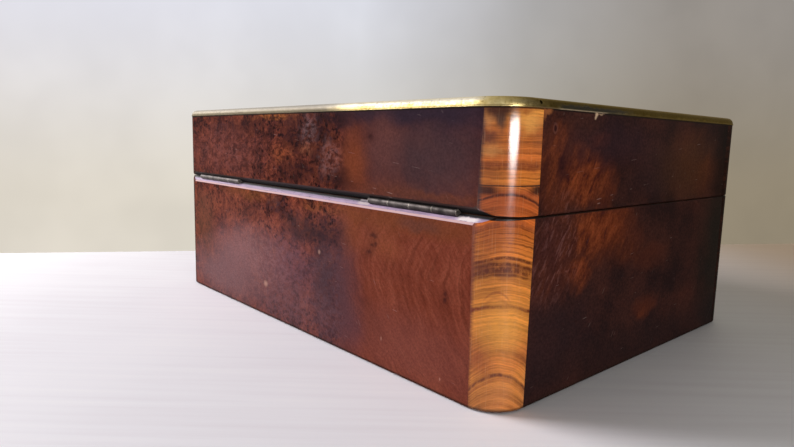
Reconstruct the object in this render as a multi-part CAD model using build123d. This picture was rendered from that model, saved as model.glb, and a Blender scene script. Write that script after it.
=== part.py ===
from build123d import *

import os
from math import atan, degrees

# Antique glove box: a veneered, dovetailed box whose hinged lid carries a brass rim.
#
# Millimetres. +Z is up, the hinges are on the +Y side and the lock is on the -Y side. The origin is the
# centre of the face that the box stands on. Left and right are as seen from the lock side: left is -X.
#
# The boards are dovetailed, rounded at the four upright corners and skinned with veneer. Lid and case are
# sawn apart at the seam, and both rear edges are bevelled, so that the two knuckle joints sit in a V-shaped
# groove and the lid stops when the outer arrises of the groove meet.

# ---- driving dimensions --------------------------------------------------------------------------
length = 280.0  # outside, along X
width = 214.0  # outside, along Y
corner_radius = 16.0  # of the four upright corners, over the veneer
base_baize = 0.4  # the worn baize that the box stands on
seam_height = 75.0  # middle of the saw cut between case and lid
seam_gap = 0.5  # width of the saw cut
lid_height = 43.6  # from the middle of the saw cut to the top of the lid
board = 10.0  # thickness of the side boards of case and lid
top_board = 8.0
bottom_board = 6.0
bottom_rebate = 5.0  # how far the bottom board is let into the sides
veneer = 0.9
arris_chamfer = 0.25  # the worn outer arris of the veneer at the seam and at the foot

# dovetails
case_tails = 3
lid_tails = 2
tail_share = 0.6  # of one pitch, at the wide end of a tail
tail_slope = 1 / 6

# corner strips of cross-grained veneer: the width on each face, from the end of that face. They were
# trimmed by eye, so each one tapers and the lid's don't quite meet the case's.
case_strip_on_long_side_foot = 13.7
case_strip_on_long_side_top = 15.1
case_strip_on_end_foot = 16.7
case_strip_on_end_top = 17.9
lid_strip_on_long_side_foot = 13.5
lid_strip_on_long_side_top = 12.1
lid_strip_on_end_foot = 19.5
lid_strip_on_end_top = 19.5

# brass rim let into the top edge of the lid
rim_height = 3.7
rim_width = 4.2
rim_round = 3.0
rim_lip = 0.5  # height of the lip along the foot of the rim
rim_proud = 0.35  # how far the lip stands out of the veneer
lip_step = 0.25  # how far the round is set back from the lip
rim_pin_radius = 0.7
rim_pin_grip = 4.0  # in the wood
rim_pin_drop = 1.7  # below the top of the lid
rim_pin_from_corner = 18.0  # along each end
rim_pin_pitch = 75.0  # along the front and back
rim_pins_on_long_side = 4

# veneer on top of the lid
banding_width = 15.0

# groove along the back of the seam
bevel_depth = 3.5  # in from the back face
case_bevel_height = 3.4
lid_bevel_height = 2.9
hinge_depth = 2.3  # hinge axis, in from the back face
stop_clearance = 1.5  # degrees short of the arrises meeting

# hinges
hinge_length = 54.0
left_hinge_from_end = 24.3
right_hinge_from_end = 22.0
knuckle_radius = 1.5
knuckles = 4
knuckle_gap = 0.15
hinge_pin_radius = 0.75
pin_clearance = 0.05
leaf = 1.0
leaf_edge_depth = 9.6  # inner edge of the leaf, in from the back face
leaf_screw_depth = 6.6
leaf_screw_from_end = 9.0
leaf_screws = 3
gain_clearance = 0.1
knuckle_clearance = 0.3

# countersunk wood screws
flat_count = 10  # flats that stand in for the round of the small screws, pins and their holes
screw_head_radius = 2.1
screw_shank_radius = 1.1
screw_length = 9.0
screw_tip_radius = 0.4
screw_slot = 0.7
screw_slot_depth = 0.5
screw_clearance = 0.05

# lock let into the front board, and its link plate in the lid
lock_plate_height = 27.0
lock_plate = 1.2
lock_plate_ear = 7.0  # from the lock case to the end of the plate, for a screw
selvedge_width = 8.0
lock_case_height = 22.0
lock_case_depth = 6.0
lock_case_wall = 0.8
mortise_clearance = 0.15
link_pitch = 18.0
link_length = 9.4
link_thickness = 2.0
link_width = 3.6
eye_height = 3.2
eye_width = 2.0
link_foot = 1.4  # below the eye
slot_clearance = 0.4
bolt_thickness = 1.6
bolt_travel = 4.0
bolt_bar_height = 5.0
bolt_post = 3.0
bolt_play = 0.25
finger_height = 2.4
key_drop = 19.0  # key axis below the top edge of the case
key_pin_radius = 1.1
key_hole_radius = 2.1
key_slot_width = 2.0
key_slot_drop = 5.5
talon_width = 5.0
talon_height = 1.6
spring_thickness = 0.5
spring_width = 3.6
escutcheon_width = 11.0
escutcheon_height = 17.0
escutcheon_proud = 0.1

# lining
lining = 1.5  # silk over card
lining_below_edge = 3.0
pad_clearance = 0.3
floor_pad = 5.0
lid_pad = 6.0

# ---- places worked out from the sizes ------------------------------------------------------------
reach = length  # longer than anything that a cut goes through
inner_length = length - 2 * (veneer + board)
inner_width = width - 2 * (veneer + board)
back_face = width / 2
wood_foot = base_baize
case_top = seam_height - seam_gap / 2
lid_foot = seam_height + seam_gap / 2
lid_top = seam_height + lid_height
top_board_top = lid_top - veneer
top_board_foot = top_board_top - top_board
rim_foot = lid_top - rim_height
floor_top = wood_foot + bottom_board
hinge_y = back_face - hinge_depth
left_hinge_x = -length / 2 + left_hinge_from_end + hinge_length / 2
right_hinge_x = length / 2 - right_hinge_from_end - hinge_length / 2
case_arris_angle = degrees(atan((case_bevel_height + seam_gap / 2) / hinge_depth))
lid_arris_angle = degrees(atan((lid_bevel_height + seam_gap / 2) / hinge_depth))
lid_stop_angle = case_arris_angle + lid_arris_angle - stop_clearance
board_inner_face = -inner_width / 2  # of the front boards
lock_back = board_inner_face - lock_plate
lock_front = lock_back - lock_case_depth
selvedge_foot = case_top - lock_plate
link_y = (lock_back + lock_front) / 2
key_height = case_top - key_drop
bolt_half_length = (link_pitch + link_thickness) / 2 + bolt_play + bolt_travel + bolt_post
lock_case_length = 2 * (bolt_half_length + bolt_play + lock_case_wall)
lock_plate_length = lock_case_length + 2 * lock_plate_ear
lock_screw_pitch = lock_case_length + lock_plate_ear


# ---- shapes used by several pieces ---------------------------------------------------------------
def block(x0, x1, y0, y1, z0, z1):
    """A box between two corners."""
    middle = Pos((x0 + x1) / 2, (y0 + y1) / 2, (z0 + z1) / 2)
    return middle * Box(x1 - x0, y1 - y0, z1 - z0)


def rounded_slab(inset, z0, z1):
    """The plan of the box, moved in by inset all round, from z0 to z1."""
    plan = RectangleRounded(length - 2 * inset, width - 2 * inset, corner_radius - inset)
    return Pos(0, 0, z0) * extrude(plan, z1 - z0)


def plan_ring(outer_inset, inner_inset, z0, z1):
    """What lies between two insets of the plan."""
    return rounded_slab(outer_inset, z0, z1) - rounded_slab(inner_inset, z0, z1)


def inner_block(z0, z1, gap=0.0):
    """The square-cornered space inside the boards, less a gap all round."""
    x, y = inner_length / 2 - gap, inner_width / 2 - gap
    return block(-x, x, -y, y, z0, z1)


def prism_along_x(points, x0, x1):
    """A polygon drawn in Y and Z, between two values of X."""
    outline = make_face(Polyline(*[(x0, y, z) for y, z in points], close=True))
    return extrude(outline, amount=x1 - x0, dir=(1, 0, 0))


def rod_along_x(radius, x0, x1, y, z):
    return Pos((x0 + x1) / 2, y, z) * Rot(0, 90, 0) * Cylinder(radius, x1 - x0)


def rod_along_y(radius, y0, y1, x, z):
    return Pos(x, (y0 + y1) / 2, z) * Rot(90, 0, 0) * Cylinder(radius, y1 - y0)


def small_rod_along_x(radius, x0, x1, y, z):
    return Pos(x0, y, z) * Rot(0, 90, 0) * extrude(small_round(radius), x1 - x0)


def small_rod_along_y(radius, y0, y1, x, z):
    return Pos(x, y0, z) * Rot(-90, 0, 0) * extrude(small_round(radius), y1 - y0)


def union(shapes):
    shapes = list(shapes)
    return shapes[0].fuse(*shapes[1:]) if len(shapes) > 1 else shapes[0]


def small_round(radius, z=0.0):
    return Pos(0, 0, z) * RegularPolygon(radius, flat_count)


def small_cone(radius0, z0, radius1, z1):
    rims = small_round(radius0, z0).vertices() + small_round(radius1, z1).vertices()
    return ConvexPolyhedron([corner.center() for corner in rims])


def screw_body(grow=0.0):
    """A countersunk wood screw with its head at the origin, pointing down, without its slot."""
    head, shank, tip = screw_head_radius + grow, screw_shank_radius + grow, screw_tip_radius + grow
    neck = shank - head
    return small_cone(head, 0, shank, neck) + small_cone(shank, neck, tip, -screw_length - grow)


def screw():
    slot = block(-reach, reach, -screw_slot / 2, screw_slot / 2, -screw_slot_depth, 1)
    return screw_body() - slot


def down(x, y):
    """Where a screw stands in the case, with its head in the seam."""
    return Pos(x, y, case_top)


def up(x, y):
    """Where a screw stands in the lid, with its head in the seam."""
    return Pos(x, y, lid_foot) * Rot(180, 0, 0)


# ---- groove along the back of the seam -----------------------------------------------------------
def bevel_cut(z, rise):
    """What a bevel takes off: rise is its height at the back face, up from z, or down if negative."""
    inner, outer = back_face - bevel_depth, back_face + bevel_depth
    return prism_along_x([(inner, z), (outer, z), (outer, z + 2 * rise)], -reach, reach)


def case_bevel():
    return bevel_cut(case_top, -case_bevel_height)


def lid_bevel():
    return bevel_cut(lid_foot, lid_bevel_height)


# ---- dovetailed boards ---------------------------------------------------------------------------
def dovetails(z0, z1, count):
    """The tails of both end boards, as prisms through the corner blocks of the ring of boards."""
    pitch = (z1 - z0) / count
    root, tip = inner_width / 2, width / 2
    wide = pitch * tail_share / 2
    narrow = wide - board * tail_slope
    tails = []
    for n in range(count):
        middle = z0 + (n + 0.5) * pitch
        for side in (-1, 1):
            corners = [
                (side * root, middle - narrow),
                (side * tip, middle - wide),
                (side * tip, middle + wide),
                (side * root, middle + narrow),
            ]
            tails.append(prism_along_x(corners, inner_length / 2, length / 2))
            tails.append(prism_along_x(corners, -length / 2, -inner_length / 2))
    return union(tails)


def four_boards(z0, z1, tails_foot, count):
    """Front, rear, left and right boards, dovetailed into a ring whose upright corners are rounded."""
    ring = rounded_slab(veneer, z0, z1) - inner_block(z0, z1)
    tails = dovetails(tails_foot, z1, count)
    across = block(-reach, reach, -inner_width / 2, inner_width / 2, z0, z1)
    long_boards = ring - across - tails
    end_boards = ring - long_boards
    half = block(-reach, reach, -reach, 0, z0, z1)
    left_half = block(-reach, 0, -reach, reach, z0, z1)
    return {
        "front": long_boards & half,
        "rear": long_boards - half,
        "left": end_boards & left_half,
        "right": end_boards - left_half,
    }


# ---- veneer --------------------------------------------------------------------------------------
def tapered_slab(z0, z1, half_foot, half_top):
    """A slab right along X between two planes that lean, symmetrical about the plane Y = 0."""
    corners = [(-half_foot, z0), (half_foot, z0), (half_top, z1), (-half_top, z1)]
    return prism_along_x(corners, -reach, reach)


def side_veneers(z0, z1, long_side, end, worn):
    """Four face veneers and four corner strips, cut from one skin.

    long_side and end are the widths of the corner strips on those faces, at the foot and at the top.
    worn lists the heights at which the outer arris is worn off.
    """
    outside = rounded_slab(0, z0, z1)
    arrises = [edge for z in worn for edge in outside.edges().filter_by_position(Axis.Z, z, z)]
    skin = chamfer(arrises, arris_chamfer) - rounded_slab(veneer, z0, z1)
    across = Rot(0, 0, 90) * tapered_slab(z0, z1, *[length / 2 - strip for strip in long_side])
    along = tapered_slab(z0, z1, *[width / 2 - strip for strip in end])
    long_faces, end_faces, corners = skin & across, skin & along, skin - across - along
    front_half = block(-reach, reach, -reach, 0, z0, z1)
    left_half = block(-reach, 0, -reach, reach, z0, z1)
    front_corners, rear_corners = corners & front_half, corners - front_half
    return {
        "front_veneer": long_faces & front_half,
        "rear_veneer": long_faces - front_half,
        "left_veneer": end_faces & left_half,
        "right_veneer": end_faces - left_half,
        "corner_veneer_front_left": front_corners & left_half,
        "corner_veneer_front_right": front_corners - left_half,
        "corner_veneer_rear_left": rear_corners & left_half,
        "corner_veneer_rear_right": rear_corners - left_half,
    }


def top_veneers():
    """Two matched leaves inside a mitred cross banding."""
    sheet = rounded_slab(rim_width, top_board_top, lid_top)
    band = rim_width + banding_width
    x, y = length / 2 - band, width / 2 - band
    field = block(-x, x, -y, y, top_board_top, lid_top)
    leaves = [field & block(-x, 0, -y, y, 0, reach), field & block(0, x, -y, y, 0, reach)]
    border = sheet - field
    # mitres run through the inner corners at 45 degrees
    far = reach / 2
    front = Polyline((-x, -y), (x, -y), (x + far, -y - far), (-x - far, -y - far), close=True)
    front_zone = Pos(0, 0, top_board_top) * extrude(make_face(front), veneer)
    rear_zone = mirror(front_zone, Plane.XZ)
    ends = border - front_zone - rear_zone
    band_pieces = [
        border & front_zone,
        border & rear_zone,
        ends & block(-reach, 0, -reach, reach, 0, reach),
        ends & block(0, reach, -reach, reach, 0, reach),
    ]
    return leaves, band_pieces


# ---- brass rim -----------------------------------------------------------------------------------
def rim_envelope():
    """The rounded outside of the rim, filled in right across the lid."""
    body = rounded_slab(lip_step - rim_proud, rim_foot, lid_top)
    body = fillet(body.faces().sort_by(Axis.Z)[-1].edges(), rim_round)
    return body + rounded_slab(-rim_proud, rim_foot, rim_foot + rim_lip)


def rim_pin_places():
    """Where the rim's pins enter the top board, the first being the one whose pin is lost."""
    z = lid_top - rim_pin_drop
    face_x, face_y = length / 2 - rim_width, width / 2 - rim_width
    end_y = width / 2 - rim_pin_from_corner
    left = [Pos(-face_x, y, z) * Rot(0, 90, 0) for y in (end_y, 0, -end_y)]
    right = [Pos(face_x, y, z) * Rot(0, -90, 0) for y in (end_y, 0, -end_y)]
    steps = [(n - (rim_pins_on_long_side - 1) / 2) * rim_pin_pitch for n in range(rim_pins_on_long_side)]
    front = [Pos(x, -face_y, z) * Rot(-90, 0, 0) for x in steps]
    rear = [Pos(x, face_y, z) * Rot(90, 0, 0) for x in steps]
    return left + right + front + rear


def rim_pins(places, back=0.0):
    """The pins' shanks in the wood, lengthened by back towards the outside."""
    return [place * extrude(small_round(rim_pin_radius, -back), rim_pin_grip + back) for place in places]


# ---- hinges --------------------------------------------------------------------------------------
def knuckle_spans(centre, own):
    """The X spans of the knuckles of one leaf: own is 0 for the lid's and 1 for the case's."""
    pitch = hinge_length / knuckles
    start = centre - hinge_length / 2
    spans = [(start + n * pitch, start + (n + 1) * pitch) for n in range(own, knuckles, 2)]
    return [(x0 + knuckle_gap / 2, x1 - knuckle_gap / 2) for x0, x1 in spans]


def screw_columns(centre):
    first = centre - hinge_length / 2 + leaf_screw_from_end
    pitch = (hinge_length - 2 * leaf_screw_from_end) / (leaf_screws - 1)
    return [(first + n * pitch, back_face - leaf_screw_depth) for n in range(leaf_screws)]


def hinge_leaf(centre, own, z0, z1, place):
    """A leaf between z0 and z1 with its knuckles, bored for the pin and countersunk for its screws."""
    half = hinge_length / 2
    inner_edge = back_face - leaf_edge_depth
    plate = block(centre - half, centre + half, inner_edge, hinge_y, z0, z1)
    notch = hinge_y - knuckle_radius - knuckle_clearance
    for x0, x1 in knuckle_spans(centre, 1 - own):
        plate -= block(x0 - knuckle_gap, x1 + knuckle_gap, notch, back_face, z0, z1)
    for x0, x1 in knuckle_spans(centre, own):
        plate += rod_along_x(knuckle_radius, x0, x1, hinge_y, seam_height)
    bore = hinge_pin_radius + pin_clearance
    plate -= small_rod_along_x(bore, centre - reach, centre + reach, hinge_y, seam_height)
    for x, y in screw_columns(centre):
        plate -= place(x, y) * screw_body(screw_clearance)
    return plate


def hinge_gain(centre, z0, z1):
    """What a board loses to a leaf and to the turning knuckles."""
    half = hinge_length / 2 + gain_clearance
    inner_edge = back_face - leaf_edge_depth - gain_clearance
    pocket = block(centre - half, centre + half, inner_edge, back_face, z0, z1)
    around = knuckle_radius + knuckle_clearance
    return pocket + rod_along_x(around, centre - half, centre + half, hinge_y, seam_height)


def hinge_pin(centre):
    half = hinge_length / 2
    return small_rod_along_x(hinge_pin_radius, centre - half, centre + half, hinge_y, seam_height)


# ---- lock ----------------------------------------------------------------------------------------
def link_places():
    return [-link_pitch / 2, link_pitch / 2]


def lock_screw_places():
    y = board_inner_face - selvedge_width / 2
    return [(-lock_screw_pitch / 2, y), (lock_screw_pitch / 2, y)]


def lock_face():
    """Back plate and selvedge in one angle piece, slotted for the links."""
    half = lock_plate_length / 2
    foot = case_top - lock_plate_height
    back = block(-half, half, lock_back, board_inner_face, foot, case_top)
    front_edge = board_inner_face - selvedge_width
    angle = back + block(-half, half, front_edge, lock_back, selvedge_foot, case_top)
    for x in link_places():
        a, b = link_thickness / 2 + slot_clearance, link_width / 2 + slot_clearance
        angle -= block(x - a, x + a, link_y - b, link_y + b, selvedge_foot - 1, case_top + 1)
    for x, y in lock_screw_places():
        angle -= down(x, y) * screw_body(screw_clearance)
    return angle


def key_hole(y0, y1, clearance=0.0):
    """A keyhole through y0 to y1."""
    w = key_slot_width / 2 + clearance
    hole = rod_along_y(key_hole_radius + clearance, y0, y1, 0, key_height)
    drop = key_height - key_slot_drop - clearance
    return hole + block(-w, w, y0, y1, drop, key_height)


def lock_box():
    """The sheet brass case of the lock, open at the back where the plate closes it."""
    half = lock_case_length / 2
    foot = selvedge_foot - lock_case_height
    wall = lock_case_wall
    shell = block(-half, half, lock_front, lock_back, foot, selvedge_foot)
    room = block(-half + wall, half - wall, lock_front + wall, lock_back, foot + wall, selvedge_foot)
    return shell - room - key_hole(lock_front - 1, lock_front + wall + 1)


def bolt():
    """The sliding bolt in its drawn-back place: a bar with two posts, each with a finger for a link."""
    y0, y1 = link_y - bolt_thickness / 2, link_y + bolt_thickness / 2
    eye_foot = case_top + seam_gap - link_length + link_foot
    finger_foot = eye_foot + (eye_height - finger_height) / 2
    bar_top = eye_foot - link_foot - bolt_play
    bar_foot = bar_top - bolt_bar_height
    shape = None
    for x in link_places():
        face = x - link_thickness / 2 - bolt_play  # the finger's tip stops just short of the link
        post = block(face - bolt_travel - bolt_post, face - bolt_travel, y0, y1, bar_foot,
                     finger_foot + finger_height)
        finger = block(face - bolt_travel, face, y0, y1, finger_foot, finger_foot + finger_height)
        shape = post + finger if shape is None else shape + post + finger
    shape += block(-bolt_half_length, link_pitch / 2, y0, y1, bar_foot, bar_top)
    talon = block(-talon_width / 2, talon_width / 2, y0, y1, bar_foot, bar_foot + talon_height)
    return shape - talon, bar_foot


def bolt_spring(bar_foot):
    """A leaf spring that bears on the underside of the bolt, fixed to the side of the lock case."""
    inside = -lock_case_length / 2 + lock_case_wall
    tip = -talon_width
    y0 = link_y - spring_width / 2
    high = bar_foot - bolt_play
    low = selvedge_foot - lock_case_height + 2 * lock_case_wall
    line = Polyline(
        (inside, y0, low),
        (inside + spring_thickness, y0, low),
        (inside + spring_thickness, y0, high - 3 * spring_thickness),
        (tip, y0, high - spring_thickness),
        (tip, y0, high),
        (inside, y0, high - 2 * spring_thickness),
        close=True,
    )
    return extrude(make_face(line), amount=spring_width, dir=(0, 1, 0))


def key_pin():
    """The drill pin that a pipe key turns on, standing on the back plate."""
    return small_rod_along_y(key_pin_radius, lock_front + lock_case_wall, lock_back, 0, key_height)


def lock_mortise():
    """What the front board loses to the lock."""
    c = mortise_clearance
    half_plate, half_case = lock_plate_length / 2 + c, lock_case_length / 2 + c
    foot = case_top - lock_plate_height - c
    back = block(-half_plate, half_plate, lock_back - c, board_inner_face, foot, case_top)
    top_front = board_inner_face - selvedge_width - c
    top = block(-half_plate, half_plate, top_front, lock_back, selvedge_foot - c, case_top)
    case_foot = selvedge_foot - lock_case_height - c
    case = block(-half_case, half_case, lock_front - c, lock_back, case_foot, selvedge_foot)
    return back + top + case


def link_plate():
    """The plate let into the lid, with two eyes that drop through the selvedge."""
    half = lock_plate_length / 2
    top = lid_foot + lock_plate
    plate = block(-half, half, board_inner_face - selvedge_width, board_inner_face, lid_foot, top)
    for x in link_places():
        a, b, e = link_thickness / 2, link_width / 2, eye_width / 2
        foot = lid_foot - link_length
        plate += block(x - a, x + a, link_y - b, link_y + b, foot, lid_foot)
        eye_foot = foot + link_foot
        plate -= block(x - a, x + a, link_y - e, link_y + e, eye_foot, eye_foot + eye_height)
    for x, y in lock_screw_places():
        plate -= up(x, y) * screw_body(screw_clearance)
    return plate


def link_recess():
    c = mortise_clearance
    half = lock_plate_length / 2 + c
    front_edge = board_inner_face - selvedge_width - c
    return block(-half, half, front_edge, board_inner_face, lid_foot, lid_foot + lock_plate + c)


def escutcheon_blank(z_shift=0.0, grow=0.0, y0=0.0, y1=1.0):
    """An upright plate with round ends, on the front of the case."""
    straight = escutcheon_height - escutcheon_width
    middle = key_height - key_slot_drop / 2 + z_shift
    radius = escutcheon_width / 2 + grow
    a, b = middle - straight / 2, middle + straight / 2
    ends = rod_along_y(radius, y0, y1, 0, a) + rod_along_y(radius, y0, y1, 0, b)
    return ends + block(-radius, radius, y0, y1, a, b)


# ---- lining --------------------------------------------------------------------------------------
def lining_cards(z0, z1):
    """Four silk-covered cards against the boards: the long ones first, the ends between them."""
    x, y = inner_length / 2, inner_width / 2
    return {
        "lining_front": block(-x, x, -y, -y + lining, z0, z1),
        "lining_rear": block(-x, x, y - lining, y, z0, z1),
        "lining_left": block(-x, -x + lining, -y + lining, y - lining, z0, z1),
        "lining_right": block(x - lining, x, -y + lining, y - lining, z0, z1),
    }


# ---- the pieces ----------------------------------------------------------------------------------
def case_parts():
    boards = four_boards(wood_foot, case_top, floor_top, case_tails)
    parts = {f"case_{side}_board": piece for side, piece in boards.items()}
    let_in = inner_block(wood_foot, floor_top, -bottom_rebate)
    groove = case_bevel()
    for name in list(parts):
        parts[name] = parts[name] - let_in - groove
    parts["case_bottom_board"] = let_in
    baize_inset = veneer + board - bottom_rebate
    parts["case_base_baize"] = rounded_slab(baize_inset, 0, base_baize)

    rear, front = parts["case_rear_board"], parts["case_front_board"]
    for x in (left_hinge_x, right_hinge_x):
        rear -= hinge_gain(x, case_top - leaf, case_top)
        for place in screw_columns(x):
            rear -= down(*place) * screw_body(screw_clearance)
    front -= lock_mortise() + key_hole(-width, lock_back)
    for place in lock_screw_places():
        front -= down(*place) * screw_body(screw_clearance)
    parts["case_rear_board"], parts["case_front_board"] = rear, front

    long_side = (case_strip_on_long_side_foot, case_strip_on_long_side_top)
    end = (case_strip_on_end_foot, case_strip_on_end_top)
    skins = side_veneers(wood_foot, case_top, long_side, end, (wood_foot, case_top))
    for name, piece in skins.items():
        parts[f"case_{name}"] = piece - groove
    face = -width / 2
    parts["case_front_veneer"] -= escutcheon_blank(y0=face - 1, y1=face + veneer)
    plate = escutcheon_blank(y0=face - escutcheon_proud, y1=face + veneer)
    parts["keyhole_escutcheon"] = plate - key_hole(-width, lock_back)

    for name, card in lining_cards(floor_top, case_top - lining_below_edge).items():
        parts[f"case_{name}"] = card
    gap = lining + pad_clearance
    parts["case_floor_pad"] = inner_block(floor_top, floor_top + floor_pad, gap)
    return parts


def lid_parts():
    boards = four_boards(lid_foot, top_board_foot, lid_foot, lid_tails)
    parts = {f"lid_{side}_board": piece for side, piece in boards.items()}
    groove = lid_bevel()
    for name in list(parts):
        parts[name] = parts[name] - groove

    rear = parts["lid_rear_board"]
    for x in (left_hinge_x, right_hinge_x):
        rear -= hinge_gain(x, lid_foot, lid_foot + leaf)
        for place in screw_columns(x):
            rear -= up(*place) * screw_body(screw_clearance)
    front = parts["lid_front_board"] - link_recess()
    for place in lock_screw_places():
        front -= up(*place) * screw_body(screw_clearance)
    parts["lid_rear_board"], parts["lid_front_board"] = rear, front

    long_side = (lid_strip_on_long_side_foot, lid_strip_on_long_side_top)
    end = (lid_strip_on_end_foot, lid_strip_on_end_top)
    for name, piece in side_veneers(lid_foot, rim_foot, long_side, end, (lid_foot,)).items():
        parts[f"lid_{name}"] = piece - groove

    places = rim_pin_places()
    empty_hole = rim_pins(places[:1], 2 * rim_width)
    top = rounded_slab(veneer, top_board_foot, top_board_top)
    top -= plan_ring(0, rim_width, rim_foot, lid_top)
    parts["lid_top_board"] = top - union(rim_pins(places))
    # the other pins are riveted and filed flush outside, so each is one with the rim
    rim = rim_envelope() - rounded_slab(rim_width, rim_foot, lid_top)
    parts["lid_brass_rim"] = rim + rim_pins(places[1:]) - empty_hole
    leaves, band = top_veneers()
    parts["lid_top_veneer"] = Compound(children=leaves)
    parts["lid_top_banding"] = Compound(children=band)

    pad_foot = top_board_foot - lid_pad
    for name, card in lining_cards(lid_foot + lining_below_edge, top_board_foot).items():
        parts[f"lid_{name}"] = card
    parts["lid_pad"] = inner_block(pad_foot, top_board_foot, lining + pad_clearance)
    return parts


def hinge_parts():
    parts = {}
    case_screws, lid_screws = [], []
    for side, x in (("left", left_hinge_x), ("right", right_hinge_x)):
        parts[f"hinge_{side}_case_leaf"] = hinge_leaf(x, 1, case_top - leaf, case_top, down)
        parts[f"hinge_{side}_lid_leaf"] = hinge_leaf(x, 0, lid_foot, lid_foot + leaf, up)
        parts[f"hinge_{side}_pin"] = hinge_pin(x)
        case_screws += [down(*place) * screw() for place in screw_columns(x)]
        lid_screws += [up(*place) * screw() for place in screw_columns(x)]
    parts["hinge_case_screws"] = Compound(children=case_screws)
    parts["hinge_lid_screws"] = Compound(children=lid_screws)
    return parts


def lock_parts():
    sliding_bolt, bar_foot = bolt()
    places = lock_screw_places()
    return {
        "lock_plate": lock_face(),
        "lock_case": lock_box(),
        "lock_bolt": sliding_bolt,
        "lock_spring": bolt_spring(bar_foot),
        "lock_key_pin": key_pin(),
        "lock_screws": Compound(children=[down(*place) * screw() for place in places]),
        "lid_link_plate": link_plate(),
        "lid_link_screws": Compound(children=[up(*place) * screw() for place in places]),
    }


def main():
    os.makedirs("parts", exist_ok=True)
    parts = {**case_parts(), **lid_parts(), **hinge_parts(), **lock_parts()}
    for name, shape in parts.items():
        export_step(shape, f"parts/{name}.step")
    print(len(parts), "nodes; lid stops at", round(lid_stop_angle, 1), "degrees")


main()
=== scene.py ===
from math import ceil, cos, exp, pi, radians, sin, sqrt

import bmesh
import bpy
from mathutils import Matrix, Vector, noise


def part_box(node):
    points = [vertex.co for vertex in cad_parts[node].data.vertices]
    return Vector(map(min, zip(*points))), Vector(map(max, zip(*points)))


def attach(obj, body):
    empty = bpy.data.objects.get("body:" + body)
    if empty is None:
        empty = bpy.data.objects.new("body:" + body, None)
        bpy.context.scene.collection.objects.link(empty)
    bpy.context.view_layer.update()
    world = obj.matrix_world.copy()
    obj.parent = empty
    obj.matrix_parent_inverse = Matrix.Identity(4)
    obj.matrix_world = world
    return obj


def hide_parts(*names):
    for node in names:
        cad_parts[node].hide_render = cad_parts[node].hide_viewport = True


# An antique glove box. Sizes are in millimetres, in the frame of the CAD model: +Z is up, the hinges are
# on the +Y side (the rear) and the lock is on the -Y side. MM turns millimetres into Blender's metres.
MM = 0.001

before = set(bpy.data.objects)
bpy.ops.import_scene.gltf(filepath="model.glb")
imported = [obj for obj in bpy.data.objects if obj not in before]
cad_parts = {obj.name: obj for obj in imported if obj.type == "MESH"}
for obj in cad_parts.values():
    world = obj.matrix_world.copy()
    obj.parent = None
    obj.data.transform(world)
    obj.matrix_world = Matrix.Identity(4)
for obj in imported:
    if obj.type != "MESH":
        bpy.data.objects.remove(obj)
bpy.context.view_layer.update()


# ---- sizes read from the frame ----
def node_box(name):
    """Lowest and highest corner of a CAD node, in millimetres."""
    low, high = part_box(name)
    return low / MM, high / MM


RIM_LOW, RIM_HIGH = node_box("lid_brass_rim")
CASE_LOW, CASE_HIGH = node_box("case_left_veneer")
HALF_LENGTH = -CASE_LOW.x
HALF_WIDTH = node_box("case_rear_veneer")[1].y
SEAM = CASE_HIGH.z
LID_TOP = RIM_HIGH.z
CORNER_RADIUS = 16
HINGE_LOW, HINGE_HIGH = node_box("hinge_left_case_leaf")


# ---- objects and meshes ----
def add_object(name, data):
    thing = bpy.data.objects.new(name, data)
    bpy.context.scene.collection.objects.link(thing)
    return thing


def mesh_from(name, places, faces, unit=MM):
    mesh = bpy.data.meshes.new(name)
    mesh.from_pydata([Vector(place) * unit for place in places], [], faces)
    return mesh


def mesh_of(name, shape):
    """The mesh that a bmesh holds. The bmesh is freed."""
    mesh = bpy.data.meshes.new(name)
    shape.to_mesh(mesh)
    shape.free()
    return mesh


def ring_faces(rows, count, closed):
    """Quads between rows of count points, each of which is a closed ring."""
    faces = []
    for n in range(rows if closed else rows - 1):
        after = (n + 1) % rows
        for k in range(count):
            up = (k + 1) % count
            faces.append((n * count + k, after * count + k, after * count + up, n * count + up))
    return faces


def grid_edge(columns, rows):
    """The numbers of the points round the edge of a grid."""
    row = columns + 1
    edge = list(range(row)) + [j * row + columns for j in range(1, rows + 1)]
    edge += [rows * row + i for i in range(columns - 1, -1, -1)]
    return edge + [j * row for j in range(rows - 1, 0, -1)]


def sheet_mesh(name, columns, rows, place_at):
    """A closed sheet: a lower and an upper grid of points from place_at, joined round the edge."""
    places = [place_at(upper, i, j) for upper in (0, 1) for j in range(rows + 1) for i in range(columns + 1)]
    row = columns + 1
    top = row * (rows + 1)
    faces = []
    for j in range(rows):
        for i in range(columns):
            a = j * row + i
            faces.append((a, a + row, a + row + 1, a + 1))
            faces.append((top + a, top + a + 1, top + a + row + 1, top + a + row))
    edge = grid_edge(columns, rows)
    for a, b in zip(edge, edge[1:] + edge[:1]):
        faces.append((a, b, top + b, top + a))
    return mesh_from(name, places, faces)


def add_piece(name, mesh, material, body):
    """A smooth piece of one material, riding on a body."""
    mesh.materials.append(material)
    mesh.shade_smooth()
    piece = add_object(name, mesh)
    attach(piece, body)
    return piece


def apply_modifiers(piece):
    """Keeps what the modifiers make as the piece's own mesh."""
    graph = bpy.context.evaluated_depsgraph_get()
    made = bpy.data.meshes.new_from_object(piece.evaluated_get(graph))
    old = piece.data
    piece.modifiers.clear()
    piece.data = made
    made.name = old.name
    bpy.data.meshes.remove(old)


def cut(piece, name, shape):
    """Takes the shape that a bmesh holds out of a piece."""
    cutter = add_object(name, mesh_of(name, shape))
    modifier = piece.modifiers.new(name, "BOOLEAN")
    modifier.operation = "DIFFERENCE"
    modifier.solver = "EXACT"
    modifier.object = cutter
    apply_modifiers(piece)
    bpy.data.objects.remove(cutter)


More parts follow.
